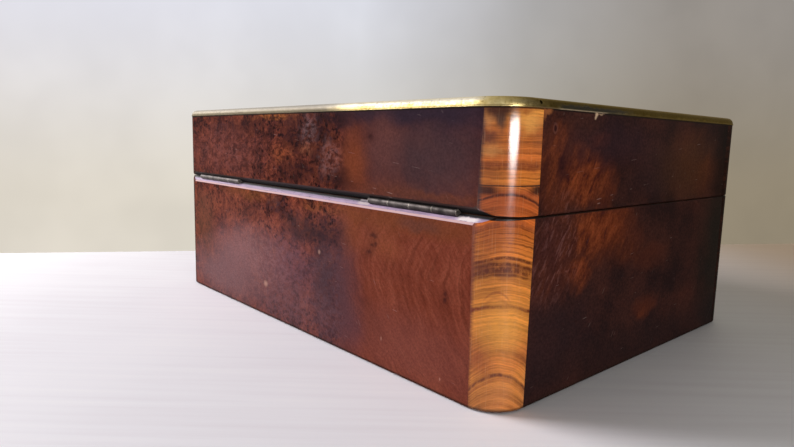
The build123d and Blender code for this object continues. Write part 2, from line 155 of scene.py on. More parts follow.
# ---- camera: where the photograph was taken from ----
CAMERA_PLACE = (-269.96, 273.36, 102.03)
CAMERA_YAW = -0.727
CAMERA_PITCH = -0.1388
CAMERA_ROLL = 0.0234
CAMERA_LENS = 27.02
SENSOR_WIDTH = 36


def add_camera():
    data = bpy.data.cameras.new("camera")
    data.lens = CAMERA_LENS
    data.sensor_width = SENSOR_WIDTH
    data.clip_start = 0.005
    data.clip_end = 50
    camera = add_object("camera", data)
    turn = Matrix.Rotation(CAMERA_YAW - pi / 2, 4, "Z") @ Matrix.Rotation(CAMERA_PITCH + pi / 2, 4, "X")
    place = Matrix.Translation(Vector(CAMERA_PLACE) * MM)
    camera.matrix_world = place @ turn @ Matrix.Rotation(CAMERA_ROLL, 4, "Z")
    bpy.context.scene.camera = camera


# ---- materials as arithmetic on fields, with colours in thousandths ----
def rgba(colour):
    return (*(part / 1000 for part in colour), 1)


class Field:
    """One output of a node. Arithmetic on fields adds Math nodes."""

    def __init__(self, graph, socket):
        self.graph = graph
        self.socket = socket

    def __add__(self, other):
        return self.graph.math("ADD", self, other)

    def __sub__(self, other):
        return self.graph.math("SUBTRACT", self, other)

    def __rsub__(self, other):
        return self.graph.math("SUBTRACT", other, self)

    def __mul__(self, other):
        return self.graph.math("MULTIPLY", self, other)

    def __truediv__(self, other):
        return self.graph.math("DIVIDE", self, other)

    def __abs__(self):
        return self.graph.math("ABSOLUTE", self)

    __radd__ = __add__
    __rmul__ = __mul__


class Graph:
    """Adds nodes to one tree. Their inputs and outputs are fields, numbers, vectors and colours."""

    def __init__(self, tree):
        self.tree = tree

    def put(self, socket, value):
        if isinstance(value, Field):
            self.tree.links.new(value.socket, socket)
        elif socket.type == "RGBA":
            socket.default_value = rgba(value)
        else:
            socket.default_value = value

    def node(self, kind, inputs=(), output=0, **settings):
        """One output of a new node. inputs pairs the names or numbers of its sockets with values."""
        node = self.tree.nodes.new("ShaderNode" + kind)
        for name, value in settings.items():
            setattr(node, name, value)
        for name, value in dict(inputs).items():
            self.put(node.inputs[name], value)
        return Field(self, node.outputs[output])

    def math(self, operation, *values):
        return self.node("Math", enumerate(values), operation=operation)

    def largest(self, fields):
        first, *others = fields
        for other in others:
            first = self.math("MAXIMUM", first, other)
        return first

    def scaled(self, vector, factor):
        """A vector or a colour times a factor."""
        return self.node("VectorMath", {0: vector, "Scale": factor}, operation="SCALE")

    def vector(self, x, y, z):
        return self.node("CombineXYZ", {"X": x, "Y": y, "Z": z})

    def split(self, vector):
        outputs = self.node("SeparateXYZ", {0: vector}).socket.node.outputs
        return [Field(self, output) for output in outputs]

    def noise(self, place, size, detail=3, roughness=0.55, distortion=0, output=0):
        """Soft noise about 0.5 whose blots are about size millimetres wide. Output 1 is a colour."""
        look = {"Scale": 1 / size, "Detail": detail, "Roughness": roughness, "Distortion": distortion}
        return self.node("TexNoise", {"Vector": place, **look}, output)

    def cells(self, place, size):
        """How far each point is from the nearest of scattered points, in sizes."""
        return self.node("TexVoronoi", {"Vector": place, "Scale": 1 / size})

    def warped(self, place, size, reach):
        """The same place, pushed about by up to half of reach."""
        push = {0: self.noise(place, size, 2, output=1), 1: (reach,) * 3, 2: (-reach / 2,) * 3}
        shift = self.node("VectorMath", push, operation="MULTIPLY_ADD")
        return self.node("VectorMath", {0: place, 1: shift}, operation="ADD")

    def step(self, value, low, high, at_low=0, at_high=1):
        """Smoothly from at_low to at_high as value goes from low to high."""
        if low > high:
            low, high, at_low, at_high = high, low, at_high, at_low
        inputs = {"Value": value, "From Min": low, "From Max": high, "To Min": at_low, "To Max": at_high}
        return self.node("MapRange", inputs, interpolation_type="SMOOTHSTEP")

    def line(self, value, centre, half_width, soft):
        """1 at centre, fading to 0 about half_width away from it."""
        return self.step(abs(value - centre), half_width * (1 + soft), half_width * (1 - soft))

    def away(self, u, v, centre, radii):
        """The distance from centre, as a share of the radii."""
        across = (u - centre[0]) / radii[0]
        along = (v - centre[1]) / radii[1]
        return self.math("SQRT", across * across + along * along)

    def spot(self, u, v, centre, radii, soft, strength=1):
        """strength inside an ellipse, fading to 0 across its edge."""
        return self.step(self.away(u, v, centre, radii), 1 + soft, 1 - soft, 0, strength)

    def ramp(self, value, positions, *colours):
        """A colour from value, through colours at positions from 0 to 1."""
        ramp = self.node("ValToRGB", {"Fac": value})
        elements = ramp.socket.node.color_ramp.elements
        for n, (position, colour) in enumerate(zip(positions, colours)):
            stop = elements[n] if n < 2 else elements.new(position)
            stop.position = position
            stop.color = rgba(colour)
        return ramp

    def mix(self, share, a, b, mode="MIX"):
        return self.node("Mix", {0: share, 6: a, 7: b}, 2, data_type="RGBA", blend_type=mode)

    def layered(self, colour, *layers):
        """colour under layers, each of which is its share and its tint."""
        for share, tint in layers:
            colour = self.mix(share, colour, tint)
        return colour


class Surface(Graph):
    """A material in its object's coordinates in millimetres: x, y, z and place, and the distances from the
    two faces that meet at the viewed corner."""

    def __init__(self, name, **constants):
        self.material = bpy.data.materials.new(name)
        self.material.use_nodes = True
        super().__init__(self.material.node_tree)
        self.shade(**constants)
        self.place = self.scaled(self.node("TexCoord", output="Object"), 1 / MM)
        self.x, self.y, self.z = self.split(self.place)
        self.from_end = self.x + HALF_LENGTH
        self.from_rear = HALF_WIDTH - self.y

    def shade(self, **values):
        """Sets the shader's inputs, whose names have underscores for spaces."""
        for name, value in values.items():
            self.put(self.tree.nodes["Principled BSDF"].inputs[name.replace("_", " ")], value)

    def finish(self, colour, roughness, height, relief, **values):
        """The finished material. relief is the height of the bump in millimetres."""
        bump = self.node("Bump", {"Height": height, "Distance": relief * MM})
        self.shade(Base_Color=colour, Roughness=roughness, Normal=bump, **values)
        return self.material


# ---- wood ----
# French polish over old veneer: a thin clear coat on a dull body, nearly gone from the end.
POLISH = {"Coat_Weight": 0.13, "Coat_Roughness": 0.13, "Coat_IOR": 1.38, "Specular_IOR_Level": 0}
WORN_POLISH = {**POLISH, "Coat_Weight": 0.1}
GOLDEN_POLISH = {**POLISH, "Coat_IOR": 1.45}

BLACK_BROWN = (14, 4, 5)
DARK_RED = (36, 8, 7)
RED_BROWN = (96, 21, 14)
ORANGE_BROWN = (166, 38, 20)
LIGHT_ORANGE = (255, 76, 40)
# a painted sheen: pale surroundings reflected in the polish
BLUE_BLACK = (17, 11, 19)
LAVENDER_SHEEN = (172, 79, 81)
# a painted haze of reflected light on the polish
LILAC_SHEEN = (120, 70, 72)
PALE_FLECK = (400, 225, 170)
SCRATCH = (360, 260, 240)
# the colour of the painted shade under the rim, round the foot and along the seam
EDGE_SHADE = (12, 8, 6)


def turned(u, v, degrees):
    """(u, v) in axes that are turned by an angle."""
    a = radians(degrees)
    return u * cos(a) + v * sin(a), v * cos(a) - u * sin(a)


def scratches(g, u, v):
    """Thin pale lines, here and there: 0 to 1."""
    marks = []
    for lean, seed, strength in ((6, 3, 1), (58, 17, 0.5)):
        along, across = turned(u, v, lean)
        hair = g.line(g.noise(g.vector(along * 0.02, across, seed), 13, 1), 0.5, 0.0018, 0.8)
        marks.append(hair * g.step(g.noise(g.vector(along, across, seed), 7, 1), 0.63, 0.73, 0, strength))
    return g.largest(marks)


def burr_figure(g, place, coarse=11, fine=2.6):
    """The mottle of burr wood, about 0.5: smoky clouds and crowds of small dark eyes in swirling wood."""
    swirl = g.warped(place, 20, 16)
    clouds = g.noise(swirl, coarse, 5, 0.62)
    speckle = g.noise(swirl, fine, 4, 0.65, 0.9)
    crowded = g.step(g.noise(place, 21, 2), 0.57, 0.44, 0.12, 1)
    eyes = g.step(g.cells(g.warped(place, 4.5, 4.5), 3), 0.08, 0.46, -0.2, 0.015)
    return clouds * 0.66 + speckle * 0.56 + eyes * crowded - 0.08


def burr_colour(g, figure):
    browns = (BLACK_BROWN, DARK_RED, RED_BROWN, ORANGE_BROWN, LIGHT_ORANGE)
    return g.ramp(figure, (0.37, 0.45, 0.53, 0.64, 0.78), *browns)


def ribbon_figure(g, u, v, lean, pitch, stretch):
    """Fine lines of grain that lean by an angle in degrees from the upright, about 0.5."""
    across, along = turned(u, v, -lean)
    bent = g.warped(g.vector(across, along / stretch, 0), pitch * 5, pitch * 2.4)
    return g.noise(bent, pitch, 4, 0.6)


def stained(g, colour, u, v, stains, broken=1):
    """colour under stains, each of which is its centre, radii, softness, strength and colour."""
    for centre, radii, soft, strength, tint in stains:
        colour = g.mix(g.spot(u, v, centre, radii, soft, strength) * broken, colour, tint)
    return colour


def polished(g, colour, figure, u, v):
    """The last steps of every veneer: pale scratches, dull patches and the faint relief of the grain."""
    marks = scratches(g, u, v)
    roughness = g.step(g.noise(g.place, 30), 0.35, 0.65, 0.32, 0.48)
    ripple = g.noise(g.vector(u, v, 0), 26, 2) * 1.4
    relief = figure * 0.35 + ripple - marks * 0.5
    return g.finish(g.mix(marks * 0.45, colour, SCRATCH), roughness, relief, 0.12)


def shaded_at_edges(g, colour):
    """Painted shade in the angle under the brass rim, round the foot, and on the seam's arrises, most at the
    rear.
    """
    under_rim = g.step(g.z, RIM_LOW.z - 0.9, RIM_LOW.z - 0.4)
    at_seam = g.line(g.z, SEAM, 0.42, 0.3) * g.step(g.from_rear, 110, 40, 0.35, 1)
    at_foot = g.step(g.z, 2, 0.9)
    return g.mix(g.largest((under_rim * 0.85, at_seam * 0.9, at_foot * 0.75)), colour, EDGE_SHADE)


def smoky_burr(g, place, smoke_size, low, high, *sizes):
    """Burr under smoky shade that goes from low to high. Gives its colour and its figure."""
    figure = burr_figure(g, place, *sizes)
    smoke = g.step(g.noise(place, smoke_size, 3, 0.6), 0.38, 0.62, low, high)
    return g.scaled(burr_colour(g, figure), smoke), figure


def plain_burr(name, axis, seed, tone=1):
    """Burr on the upright faces that the photograph doesn't show, in the same tones."""
    g = Surface(name, **POLISH)
    u = g.x if axis == "x" else g.y
    colour, figure = smoky_burr(g, g.vector(u, g.z, seed), 46, 0.45 * tone, 1.35 * tone)
    return polished(g, shaded_at_edges(g, colour), figure, u, g.z)


def smooth_rear(g, u, v, place, part, sheet):
    """The rear's smooth wood: leaning ribbons, arched rings and a few dark veins."""
    ribbon = ribbon_figure(g, u, v, part["lean"], 1.7, 5)
    cloud = g.noise(place, 17, 4, 0.6)
    drift, drop, _ = g.split(g.warped(place, 22, 14))
    drop = drop - part["arch_height"]
    arch = drift + drop * drop / part["arch_bend"]
    rings = g.noise(g.vector(arch, drop * 0.06, sheet), 2.6)
    smooth = ribbon * 0.3 + rings * part["rings"] + cloud * (0.7 - part["rings"])
    wood = g.ramp(smooth, (0.4, 0.5, 0.6), *part["smooth"])
    vein = g.line(g.noise(g.vector(arch, drop * 0.05, sheet + 3), 7, 2), 0.5, 0.013, 1)
    vein = vein * g.step(cloud, 0.42, 0.56) * g.step(u, 84, 60)
    return g.scaled(wood, 1 - vein * part["veins"])


def rear_veneer(name, part, sheet, stains):
    """The rear: smooth wood near the viewed corner, burr further along, with the stains of one part."""
    g = Surface(name, **POLISH)
    u, v = g.from_end, g.z
    place = g.vector(u, v, sheet)
    lu, lv, _ = g.split(g.warped(place, 11, 10))
    burr = burr_figure(g, place)
    burr_wood = g.scaled(burr_colour(g, burr), part["burr_tone"])
    edge = lu + (g.noise(place, 6) - 0.5) * 16
    burr_share = g.step(edge, part["burr_from"] - 7, part["burr_from"] + 7)
    colour = g.mix(burr_share, smooth_rear(g, u, v, place, part, sheet), burr_wood)
    lively = burr_share * g.step(v, part["lively_from"] - 9, part["lively_from"] + 9, 0.32, 1)
    lively = lively * g.step(u, 150, 205, 1, part["calm"])
    mottle = g.noise(g.warped(g.vector(u / 1.5, v, sheet), 6, 6), 2.7, 4, 0.68)
    broken = 1 + (g.step(mottle, 0.4, 0.62, 0.18, 1.12) - 1) * lively
    colour = stained(g, colour, lu, lv, stains, broken)
    ku, kv, _ = g.split(g.warped(place, 2.4, 1.5))
    for centre, radii in part["knots"]:
        halo = g.spot(ku, kv, centre, (radii[0] * 2.6, radii[1] * 2.6), 0.9, 0.28)
        knot = g.spot(ku, kv, centre, radii, 0.9, 0.6)
        colour = g.layered(colour, (halo, DARK_RED), (knot, BLACK_BROWN))
    grainy = g.step(g.noise(place, 1.1, 3, 0.7), 0.3, 0.7, 0.84, 1.16)
    mottled = g.step(mottle, 0.32, 0.68, 0.58, 1.42)
    colour = g.scaled(colour, grainy * (1 + (mottled - 1) * lively))
    colour = stained(g, colour, u, v, part["flecks"])
    # the veneer's edge on the bevel: pale on the case, painted shade on the lid
    cut_edge = g.step(g.from_rear, 0.03, 0.12) * g.line(g.z, SEAM, 3.9, 0.05)
    colour = g.mix(cut_edge, shaded_at_edges(g, colour), part["cut_edge"])
    return polished(g, colour, burr, u, v)


# One part of the rear: the lean of its ribbons in degrees, the height and bend of its arched rings, the
# strength of its veins and rings, where its mottle grows lively and how calm it is far along, where its burr
# begins and in what tone, its smooth wood from dark to light, its knots and flecks, and the colour of its
# bevel's edge, pale on the case and dark with painted shade on the lid.
CASE_REAR = {
    "lean": 38,
    "arch_height": 46,
    "arch_bend": 50,
    "veins": 0.2,
    "rings": 0.3,
    "lively_from": 57,
    "calm": 0.22,
    "burr_from": 96,
    "burr_tone": 1,
    "smooth": ((90, 18, 9), (126, 27, 14), (164, 40, 21)),
    "knots": (
        ((72.6, 59.8), (2.1, 0.9)),
        ((71, 56), (0.9, 0.9)),
        ((73.6, 55.4), (0.9, 0.7)),
        ((75.2, 52), (1.5, 0.8)),
        ((27.6, 42.6), (0.7, 0.8)),
        ((27.7, 40), (0.8, 0.8)),
    ),
    "flecks": (
        ((115.2, 45.7), (0.9, 1), 0.7, 0.48, PALE_FLECK),
        ((169.3, 18.8), (1.8, 1.5), 0.8, 0.6, PALE_FLECK),
        ((66, 14), (0.3, 0.9), 0.7, 0.45, PALE_FLECK),
        ((29, 7), (0.3, 0.6), 0.7, 0.45, PALE_FLECK),
    ),
    "cut_edge": (580, 380, 380),
}
# a stain is its centre, radii, softness, strength and colour, with u from the near corner and v from the foot
CASE_REAR_STAINS = (
    ((66, 57), (10, 6), 0.8, 0.45, (190, 50, 18)),
    ((50, 68), (44, 5), 0.7, 0.6, (118, 32, 9)),
    ((44, 67.5), (12, 3), 0.6, 0.4, (66, 28, 25)),
    ((45, 14), (42, 14), 0.8, 0.5, (146, 44, 34)),
    ((88, 12), (9, 11), 0.7, 0.45, (72, 26, 34)),
    ((90, 62), (9, 11), 0.7, 0.45, (150, 38, 11)),
    ((104, 28), (18, 28), 0.65, 0.9, (60, 26, 33)),
    ((113, 32), (9, 14), 0.8, 0.7, (40, 21, 26)),
    ((112, 57), (16, 6), 0.65, 0.9, (19, 6, 8)),
    ((134, 55), (13, 6.5), 0.7, 0.85, (28, 10, 11)),
    ((150, 63), (14, 5), 0.7, 0.58, (28, 10, 11)),
    ((116, 68.5), (19, 3.4), 0.6, 0.6, (125, 34, 10)),
    ((158, 66.5), (8.5, 5.5), 0.6, 0.8, (18, 12, 18)),
    ((190, 69.5), (27, 3.6), 0.7, 0.55, (175, 55, 16)),
    ((176, 60), (14, 6), 0.8, 0.35, (75, 26, 22)),
    # these four are painted reflection of the pale floor in the polish, low on the far part
    ((148, 34), (24, 14), 0.8, 0.82, (108, 46, 58)),
    ((148, 12), (36, 13), 0.8, 0.82, (104, 46, 52)),
    ((196, 33), (36, 16), 0.8, 0.88, LAVENDER_SHEEN),
    ((225, 14), (42, 14), 0.8, 0.88, (146, 71, 75)),
    ((252, 48), (15, 18), 0.8, 0.6, (110, 44, 26)),
    ((216, 60), (34, 9), 0.8, 0.35, (130, 44, 30)),
)
LID_REAR = {
    "lean": 62,
    "arch_height": 120,
    "arch_bend": 120,
    "veins": 0.1,
    "rings": 0.12,
    "lively_from": 60,
    "calm": 0.55,
    "burr_from": 97,
    "burr_tone": 0.7,
    "smooth": ((41, 12, 11), (62, 16.5, 13), (88, 24, 16)),
    "knots": (((76, 103.5), (1.6, 1.1)),),
    "flecks": (),
    # dark with painted shade, where the lid's bevel faces down
    "cut_edge": (50, 30, 26),
}
LID_REAR_STAINS = (
    ((88, 92), (9, 12), 0.8, 0.75, (140, 33, 12)),
    ((62, 81), (18, 4), 0.8, 0.45, (98, 27, 12)),
    ((38, 97), (30, 14), 0.8, 0.8, (43, 23, 26)),
    ((44, 113.5), (60, 5.5), 0.8, 0.9, BLUE_BLACK),
    ((24, 106), (14, 6), 0.8, 0.3, (22, 13, 20)),
    ((31, 80.3), (24, 1.8), 0.7, 0.7, (94, 26, 13)),
    ((68, 98), (10, 12), 0.8, 0.65, (88, 32, 28)),
    ((104, 111.5), (14, 4), 0.6, 0.85, BLACK_BROWN),
    ((113, 103), (10, 5.5), 0.6, 0.85, BLACK_BROWN),
    ((119, 95.5), (6, 4), 0.6, 0.8, BLACK_BROWN),
    ((103, 83), (13, 4.5), 0.6, 0.85, BLACK_BROWN),
    ((136, 84.5), (16, 6), 0.6, 0.78, BLACK_BROWN),
    ((140, 101), (12, 7), 0.6, 0.72, BLACK_BROWN),
    ((142, 111), (14, 4), 0.6, 0.7, BLACK_BROWN),
    ((184, 108), (8, 6), 0.7, 0.55, BLACK_BROWN),
    ((205, 107), (15, 4.5), 0.7, 0.5, BLACK_BROWN),
    ((228, 106), (13, 4.5), 0.7, 0.45, (28, 12, 16)),
    # a painted haze of reflected light
    ((124.5, 106.5), (6.5, 5.5), 0.85, 0.5, LILAC_SHEEN),
    ((108.5, 92.5), (8, 7), 0.85, 0.45, (110, 58, 56)),
    ((128, 97.5), (5, 3), 0.8, 0.6, (145, 46, 22)),
    ((152, 94), (8.5, 4.5), 0.85, 0.72, (150, 36, 13)),
    ((160, 113.4), (20, 1.6), 0.7, 0.8, (200, 60, 14)),
    ((222, 91), (44, 14), 0.8, 0.62, (130, 40, 33)),
)


END_SHEET = 5
# where the flame turns ashen beside the strip
ASHEN_PLACE = (33, 60)
ASHEN_RADII = (14, 19)


def end_veneer(name, flames, stains):
    """The end beside the viewed corner: near black, with patches of chestnut flame that lean to the far end.
    Gives the surface, its colour and its figure."""
    g = Surface(name, **WORN_POLISH)
    u, v = g.from_rear, g.z
    place = g.vector(u, v, END_SHEET)
    lu, lv, _ = g.split(g.warped(place, 13, 12))
    broad = ribbon_figure(g, u, v, 36, 5.6, 2.4)
    fine = ribbon_figure(g, u, v, 32, 2, 3.6)
    speckle = g.noise(place, 1.3, 3, 0.7)
    ground = g.noise(place, 30, 4, 0.6) * 0.8 + speckle * 0.2
    colour = g.ramp(ground, (0.38, 0.62), (15.5, 7, 6.8), (40, 13.5, 10))
    lit = g.largest(g.spot(lu, lv, centre, radii, 0.65, strength) for centre, radii, strength in flames)
    marked = lit * g.step(lu, 84, 48, 0.5, 1)
    stroke = broad * 0.6 + fine * 0.4
    hair = g.step(fine, 0.52, 0.62) * g.spot(lu, lv, ASHEN_PLACE, ASHEN_RADII, 0.6)
    colour = g.layered(
        colour,
        (lit * 0.9, (100, 21.5, 8)),
        (g.step(stroke, 0.47, 0.62) * marked * 0.8, (182, 42, 14)),
        (g.step(stroke, 0.49, 0.38) * marked * 0.95, (19, 5, 6)),
        (hair * 0.7, (135, 52, 45)),
    )
    colour = stained(g, colour, lu, lv, stains)
    colour = shaded_at_edges(g, g.scaled(colour, g.step(speckle, 0.3, 0.7, 0.8, 1.22)))
    return g, colour, broad


# a flame is its centre, radii and strength
CASE_END_FLAMES = (
    ((66, 66), (22, 11), 1),
    ((33, 58), (16, 16), 0.42),
    ((49, 50), (8, 7), 0.85),
    ((88, 58), (17, 9), 0.4),
    ((112, 50), (15, 6), 0.28),
    ((112, 25.5), (11, 4.5), 0.45),
    ((160, 18), (26, 10), 0.1),
)
CASE_END_STAINS = (
    ((27, 66), (6, 9), 0.8, 0.35, (24, 8, 9)),
    ((32, 24), (24, 18), 0.8, 0.65, (20, 10, 11)),
    ((30, 60), (13, 14), 0.8, 0.3, (30, 12, 13)),
    # painted shade on the far edge, by the front corner
    ((198, 50), (24, 52), 0.7, 0.8, (10, 9.8, 8)),
    ((120, 8), (100, 10), 0.8, 0.5, (16, 9, 9)),
)
LID_END_FLAMES = (
    ((50, 88.5), (17, 10), 0.95),
    ((66, 85), (9, 10), 0.7),
    ((28, 96), (12, 14), 0.5),
    ((28, 82), (10, 7), 0.45),
    ((60, 104), (7, 3), 0.4),
    ((150, 101), (20, 10), 0.22),
    ((166, 89), (11, 11), 0.36),
)
LID_END_STAINS = (
    ((34.5, 93), (4, 5.5), 0.7, 0.75, (14, 5, 7)),
    ((72, 102), (30, 8), 0.75, 0.6, (24, 10, 13)),
    ((112, 90), (20, 10), 0.8, 0.55, (26, 13, 13)),
    ((150, 92), (28, 16), 0.8, 0.55, (56, 23, 10)),
    # painted shade on the far edge, by the front corner
    ((200, 96), (18, 40), 0.7, 0.85, (8, 5, 4)),
)
RINGED_KNOT = (27.5, 107.8)
WORN_CORNER = (
    ((21.6, 113.8), (3, 1), 0.55, 0.85, (250, 85, 28)),
    ((20.2, 112.3), (1, 1.8), 0.6, 0.75, (200, 66, 24)),
)
CHIP = (
    ((56, 114.2), (1.3, 0.8), 0.5, 0.92, (440, 310, 200)),
    ((55.2, 113.3), (0.5, 0.9), 0.5, 0.85, (380, 260, 170)),
    ((59.4, 114.4), (2.6, 0.3), 0.5, 0.8, (280, 190, 120)),
)


def case_end():
    g, colour, figure = end_veneer("case_left_flame", CASE_END_FLAMES, CASE_END_STAINS)
    return polished(g, colour, figure, g.from_rear, g.z)


def lid_end():
    """The lid's end also has a small ringed knot, a worn corner and a chip out of the veneer."""
    g, colour, figure = end_veneer("lid_left_flame", LID_END_FLAMES, LID_END_STAINS)
    away = g.away(g.from_rear, g.z, RINGED_KNOT, (1, 1.35))
    dark_middle = (g.step(away, 1.1, 0.5) * 0.8, (14, 5, 6))
    ring = (g.line(away, 1.25, 0.35, 0.6) * 0.45, (105, 40, 32))
    ju, jv, _ = g.split(g.warped(g.vector(g.from_rear, g.z, END_SHEET), 1.6, 2))
    colour = stained(g, g.layered(colour, dark_middle, ring), ju, jv, WORN_CORNER + CHIP)
    return polished(g, colour, figure, g.from_rear, g.z)


# one line of the cross-grained strip: height at its middle, half width, strength and colour
STRIP_DARK = (55, 4, 1)
STRIP_RED = (190, 42, 13)
STRIP_LINES = (
    (105.4, 0.9, 0.3, STRIP_RED),
    (102.2, 0.5, 0.35, STRIP_RED),
    (98.7, 0.35, 0.4, STRIP_DARK),
    (94.3, 1, 0.7, (120, 26, 12)),
    (92.9, 0.45, 0.55, STRIP_DARK),
    (89.6, 0.3, 0.3, STRIP_DARK),
    (83.4, 0.5, 0.88, (45, 10, 8)),
    (79, 0.5, 0.3, STRIP_DARK),
    (72.9, 0.9, 0.65, (120, 26, 12)),
    (71.8, 0.3, 0.6, STRIP_DARK),
    (69.6, 0.28, 0.55, STRIP_DARK),
    (67.9, 0.25, 0.4, STRIP_DARK),
    (66, 0.28, 0.5, STRIP_DARK),
    (64.3, 0.25, 0.4, STRIP_DARK),
    (62.3, 0.28, 0.45, STRIP_DARK),
    (60.2, 0.6, 0.85, STRIP_DARK),
    (58, 0.8, 0.85, STRIP_DARK),
    (55.9, 1.3, 0.88, STRIP_DARK),
    (53.9, 0.5, 0.72, STRIP_DARK),
    (51.5, 0.3, 0.35, STRIP_RED),
    (42, 0.65, 1, (120, 12, 4)),
    (36.2, 0.3, 0.2, STRIP_RED),
    (31.5, 0.3, 0.18, STRIP_RED),
    (24.8, 0.6, 0.6, STRIP_RED),
    (15.4, 0.75, 0.9, (80, 16, 10)),
    (13.6, 0.6, 0.45, STRIP_RED),
    (7.5, 0.35, 0.3, STRIP_RED),
    (4, 0.5, 0.4, STRIP_RED),
)
STRIP_JOINT = 86.6
STRIP_CREST = -2
# the strip's colour by its height, as a share of a span
STRIP_SPAN = 120
STRIP_TONES = (
    (0.02, (440, 150, 34)),
    (0.11, (490, 170, 32)),
    (0.19, (495, 145, 30)),
    (0.28, (610, 212, 32)),
    (0.44, (575, 192, 29)),
    (0.56, (510, 134, 19)),
    (0.615, (455, 100, 16)),
    (0.7, (275, 60, 16)),
    (0.735, (550, 172, 27)),
    (0.8, (430, 112, 22)),
    (0.9, (550, 156, 24)),
    (0.94, (540, 215, 44)),
)
# on the strip, u runs round the corner: 0 at its middle, towards the rear when positive
STRIP_STAINS = (
    ((4.5, 113.6), (9, 3.4), 0.6, 0.92, (36, 14, 16)),
    ((13.2, 110), (2.8, 6.5), 0.5, 0.92, (36, 16, 21)),
    ((-9, 114), (5, 1.7), 0.7, 0.75, (220, 45, 14)),
    ((3, 110.5), (2.6, 3.8), 0.7, 0.92, (55, 22, 14)),
    ((9.5, 110), (2.6, 2.4), 0.8, 0.6, (420, 170, 55)),
    ((9.5, 104), (5, 2.8), 0.7, 0.85, (80, 18, 10)),
    ((7.5, 99.4), (6, 2), 0.8, 0.5, (540, 240, 70)),
    ((8, 90), (7, 3), 0.8, 0.45, (170, 46, 16)),
    ((-11.5, 109.5), (5.5, 3.4), 0.8, 0.75, (660, 310, 72)),
    ((-14, 93.6), (5, 1.5), 0.8, 0.5, (160, 34, 12)),
    ((-1, 78.5), (7, 3), 0.8, 0.4, (360, 85, 26)),
    ((10, 57), (5, 3.6), 0.8, 0.55, (85, 14, 7)),
    ((4, 54.8), (15, 2.2), 0.7, 0.45, (85, 16, 8)),
    ((5.5, 66), (5, 5), 0.8, 0.35, (270, 65, 20)),
    ((8.5, 19.5), (5.5, 5), 0.8, 0.5, (250, 58, 20)),
    ((-3, 33), (10, 9), 0.9, 0.5, (700, 320, 56)),
    ((-2, 8), (9, 5), 0.9, 0.35, (560, 200, 60)),
)


def golden_strip():
    """The glossy cross-grained strip on the viewed corner, with arched rings. It is dull under the rim."""
    g = Surface("golden_cross_grain", **GOLDEN_POLISH)
    side = g.from_end - g.from_rear
    across = side - STRIP_CREST
    bow = g.step(g.z, 8, 40, 0.031, 0.0125)
    flat = g.step(g.z, STRIP_JOINT - 0.1, STRIP_JOINT + 0.1, 1, 0.05)
    height = g.z + across * across * bow * flat + (g.noise(g.place, 9) - 0.5) * 2
    rings = g.noise(g.vector(across * 0.02, 0, height), 0.75, 2, 0.5)
    broad = g.noise(g.vector(across * 0.05, 7, height), 4, 2)
    patchy = g.noise(g.vector(across, 3, g.z), 9)
    shade = g.step(rings, 0.32, 0.68, 0.69, 1.17) * g.step(broad, 0.35, 0.65, 0.77, 1.15)
    shade = shade * g.step(side + (patchy - 0.5) * 14, 10, -8, 0.86, 1.02)
    positions, tones = zip(*STRIP_TONES)
    colour = g.scaled(g.ramp(g.z / STRIP_SPAN, positions, *tones), shade)
    ragged = g.step(g.noise(g.vector(across, 3, height), 2.2), 0.36, 0.56, 0.6, 1)
    for middle, half, strength, tint in STRIP_LINES:
        colour = g.mix(g.line(height, middle, half, 0.75) * ragged * strength, colour, tint)
    eye = g.z + (side - 1) * (side - 1) * 0.07
    inside = g.step(abs(side - 1), 8, 5)
    wedge = g.step(abs(side + 5.5), 6, 12.5) * g.line(g.z, STRIP_JOINT - 1.7, 1.5, 0.6)
    colour = g.layered(
        colour,
        (g.line(eye, 47.2, 0.45, 0.8) * inside * 0.5, STRIP_RED),
        (g.line(eye, 44.8, 0.7, 0.8) * inside * 0.35, STRIP_RED),
        (wedge * 0.95, (34, 8, 5)),
        (g.line(g.z, STRIP_JOINT, 0.22, 0.4), (26, 10, 8)),
    )
    su, sv, _ = g.split(g.warped(g.vector(side, g.z, 2), 5, 5))
    colour = stained(g, colour, su, sv, STRIP_STAINS)
    frayed = side + (g.noise(g.vector(0, 0, g.z), 1.1, 4, 0.7) - 0.5) * 4
    faded = g.step(frayed - g.step(g.z, SEAM, SEAM + 0.1, 14.4, 12.6), -2.6, 0.2)
    faded_tint = g.mix(g.math("GREATER_THAN", g.z, SEAM), (135, 30, 13), (40, 16, 16))
    colour = g.mix(faded * 0.9, colour, faded_tint)
    pores = g.noise(g.vector(across * 0.35, g.z * 2.2, 5), 0.9)
    colour = g.scaled(colour, g.step(pores, 0.3, 0.55, 0.84, 1))
    upright = g.line(g.noise(g.vector(across * 2.2, g.z * 0.05, 9), 4, 2), 0.5, 0.006, 0.9)
    colour = shaded_at_edges(g, g.mix(upright * 0.08, colour, (750, 500, 260)))
    # painted shade in the seam, wider on the rear side of the strip
    seam_shade = g.step(abs(g.z - SEAM) - g.step(side, 6, -17, 0.95, 0.45), 0.15, -0.1)
    roughness = g.step(g.noise(g.place, 5), 0.35, 0.65, 0.26, 0.42)
    relief = rings * 0.5 + g.noise(g.place, 7, 2) * 1.3
    gloss = g.step(sv, 113.4, 108.8, 0.03, 0.8)
    colour = g.mix(seam_shade, colour, (8, 5, 4))
    return g.finish(colour, roughness, relief, 0.1, Coat_Weight=gloss)


def dark_cross_grain():
    """The other corner strips: the same cut of wood, stained like the burr, and darkened by painted shade
    toward the left-front corner.
    """
    g = Surface("dark_cross_grain", **POLISH)
    rings = g.noise(g.vector(g.x * 0.06, g.y * 0.06, g.z), 1.6, 3, 0.6)
    figure = rings * 0.5 + g.noise(g.place, 9, 4, 0.6) * 0.5
    colour = g.ramp(figure, (0.36, 0.5, 0.66), (16, 6, 6), (58, 16, 11), (130, 36, 18))
    # painted shade, darkest at the left-front corner
    shaded_to_corner = g.step(g.x + g.y, 30 - HALF_LENGTH - HALF_WIDTH, -HALF_WIDTH, 0.25, 1)
    return polished(g, shaded_at_edges(g, g.scaled(colour, shaded_to_corner)), rings, g.x * 0.5 + g.y * 0.5, g.z)


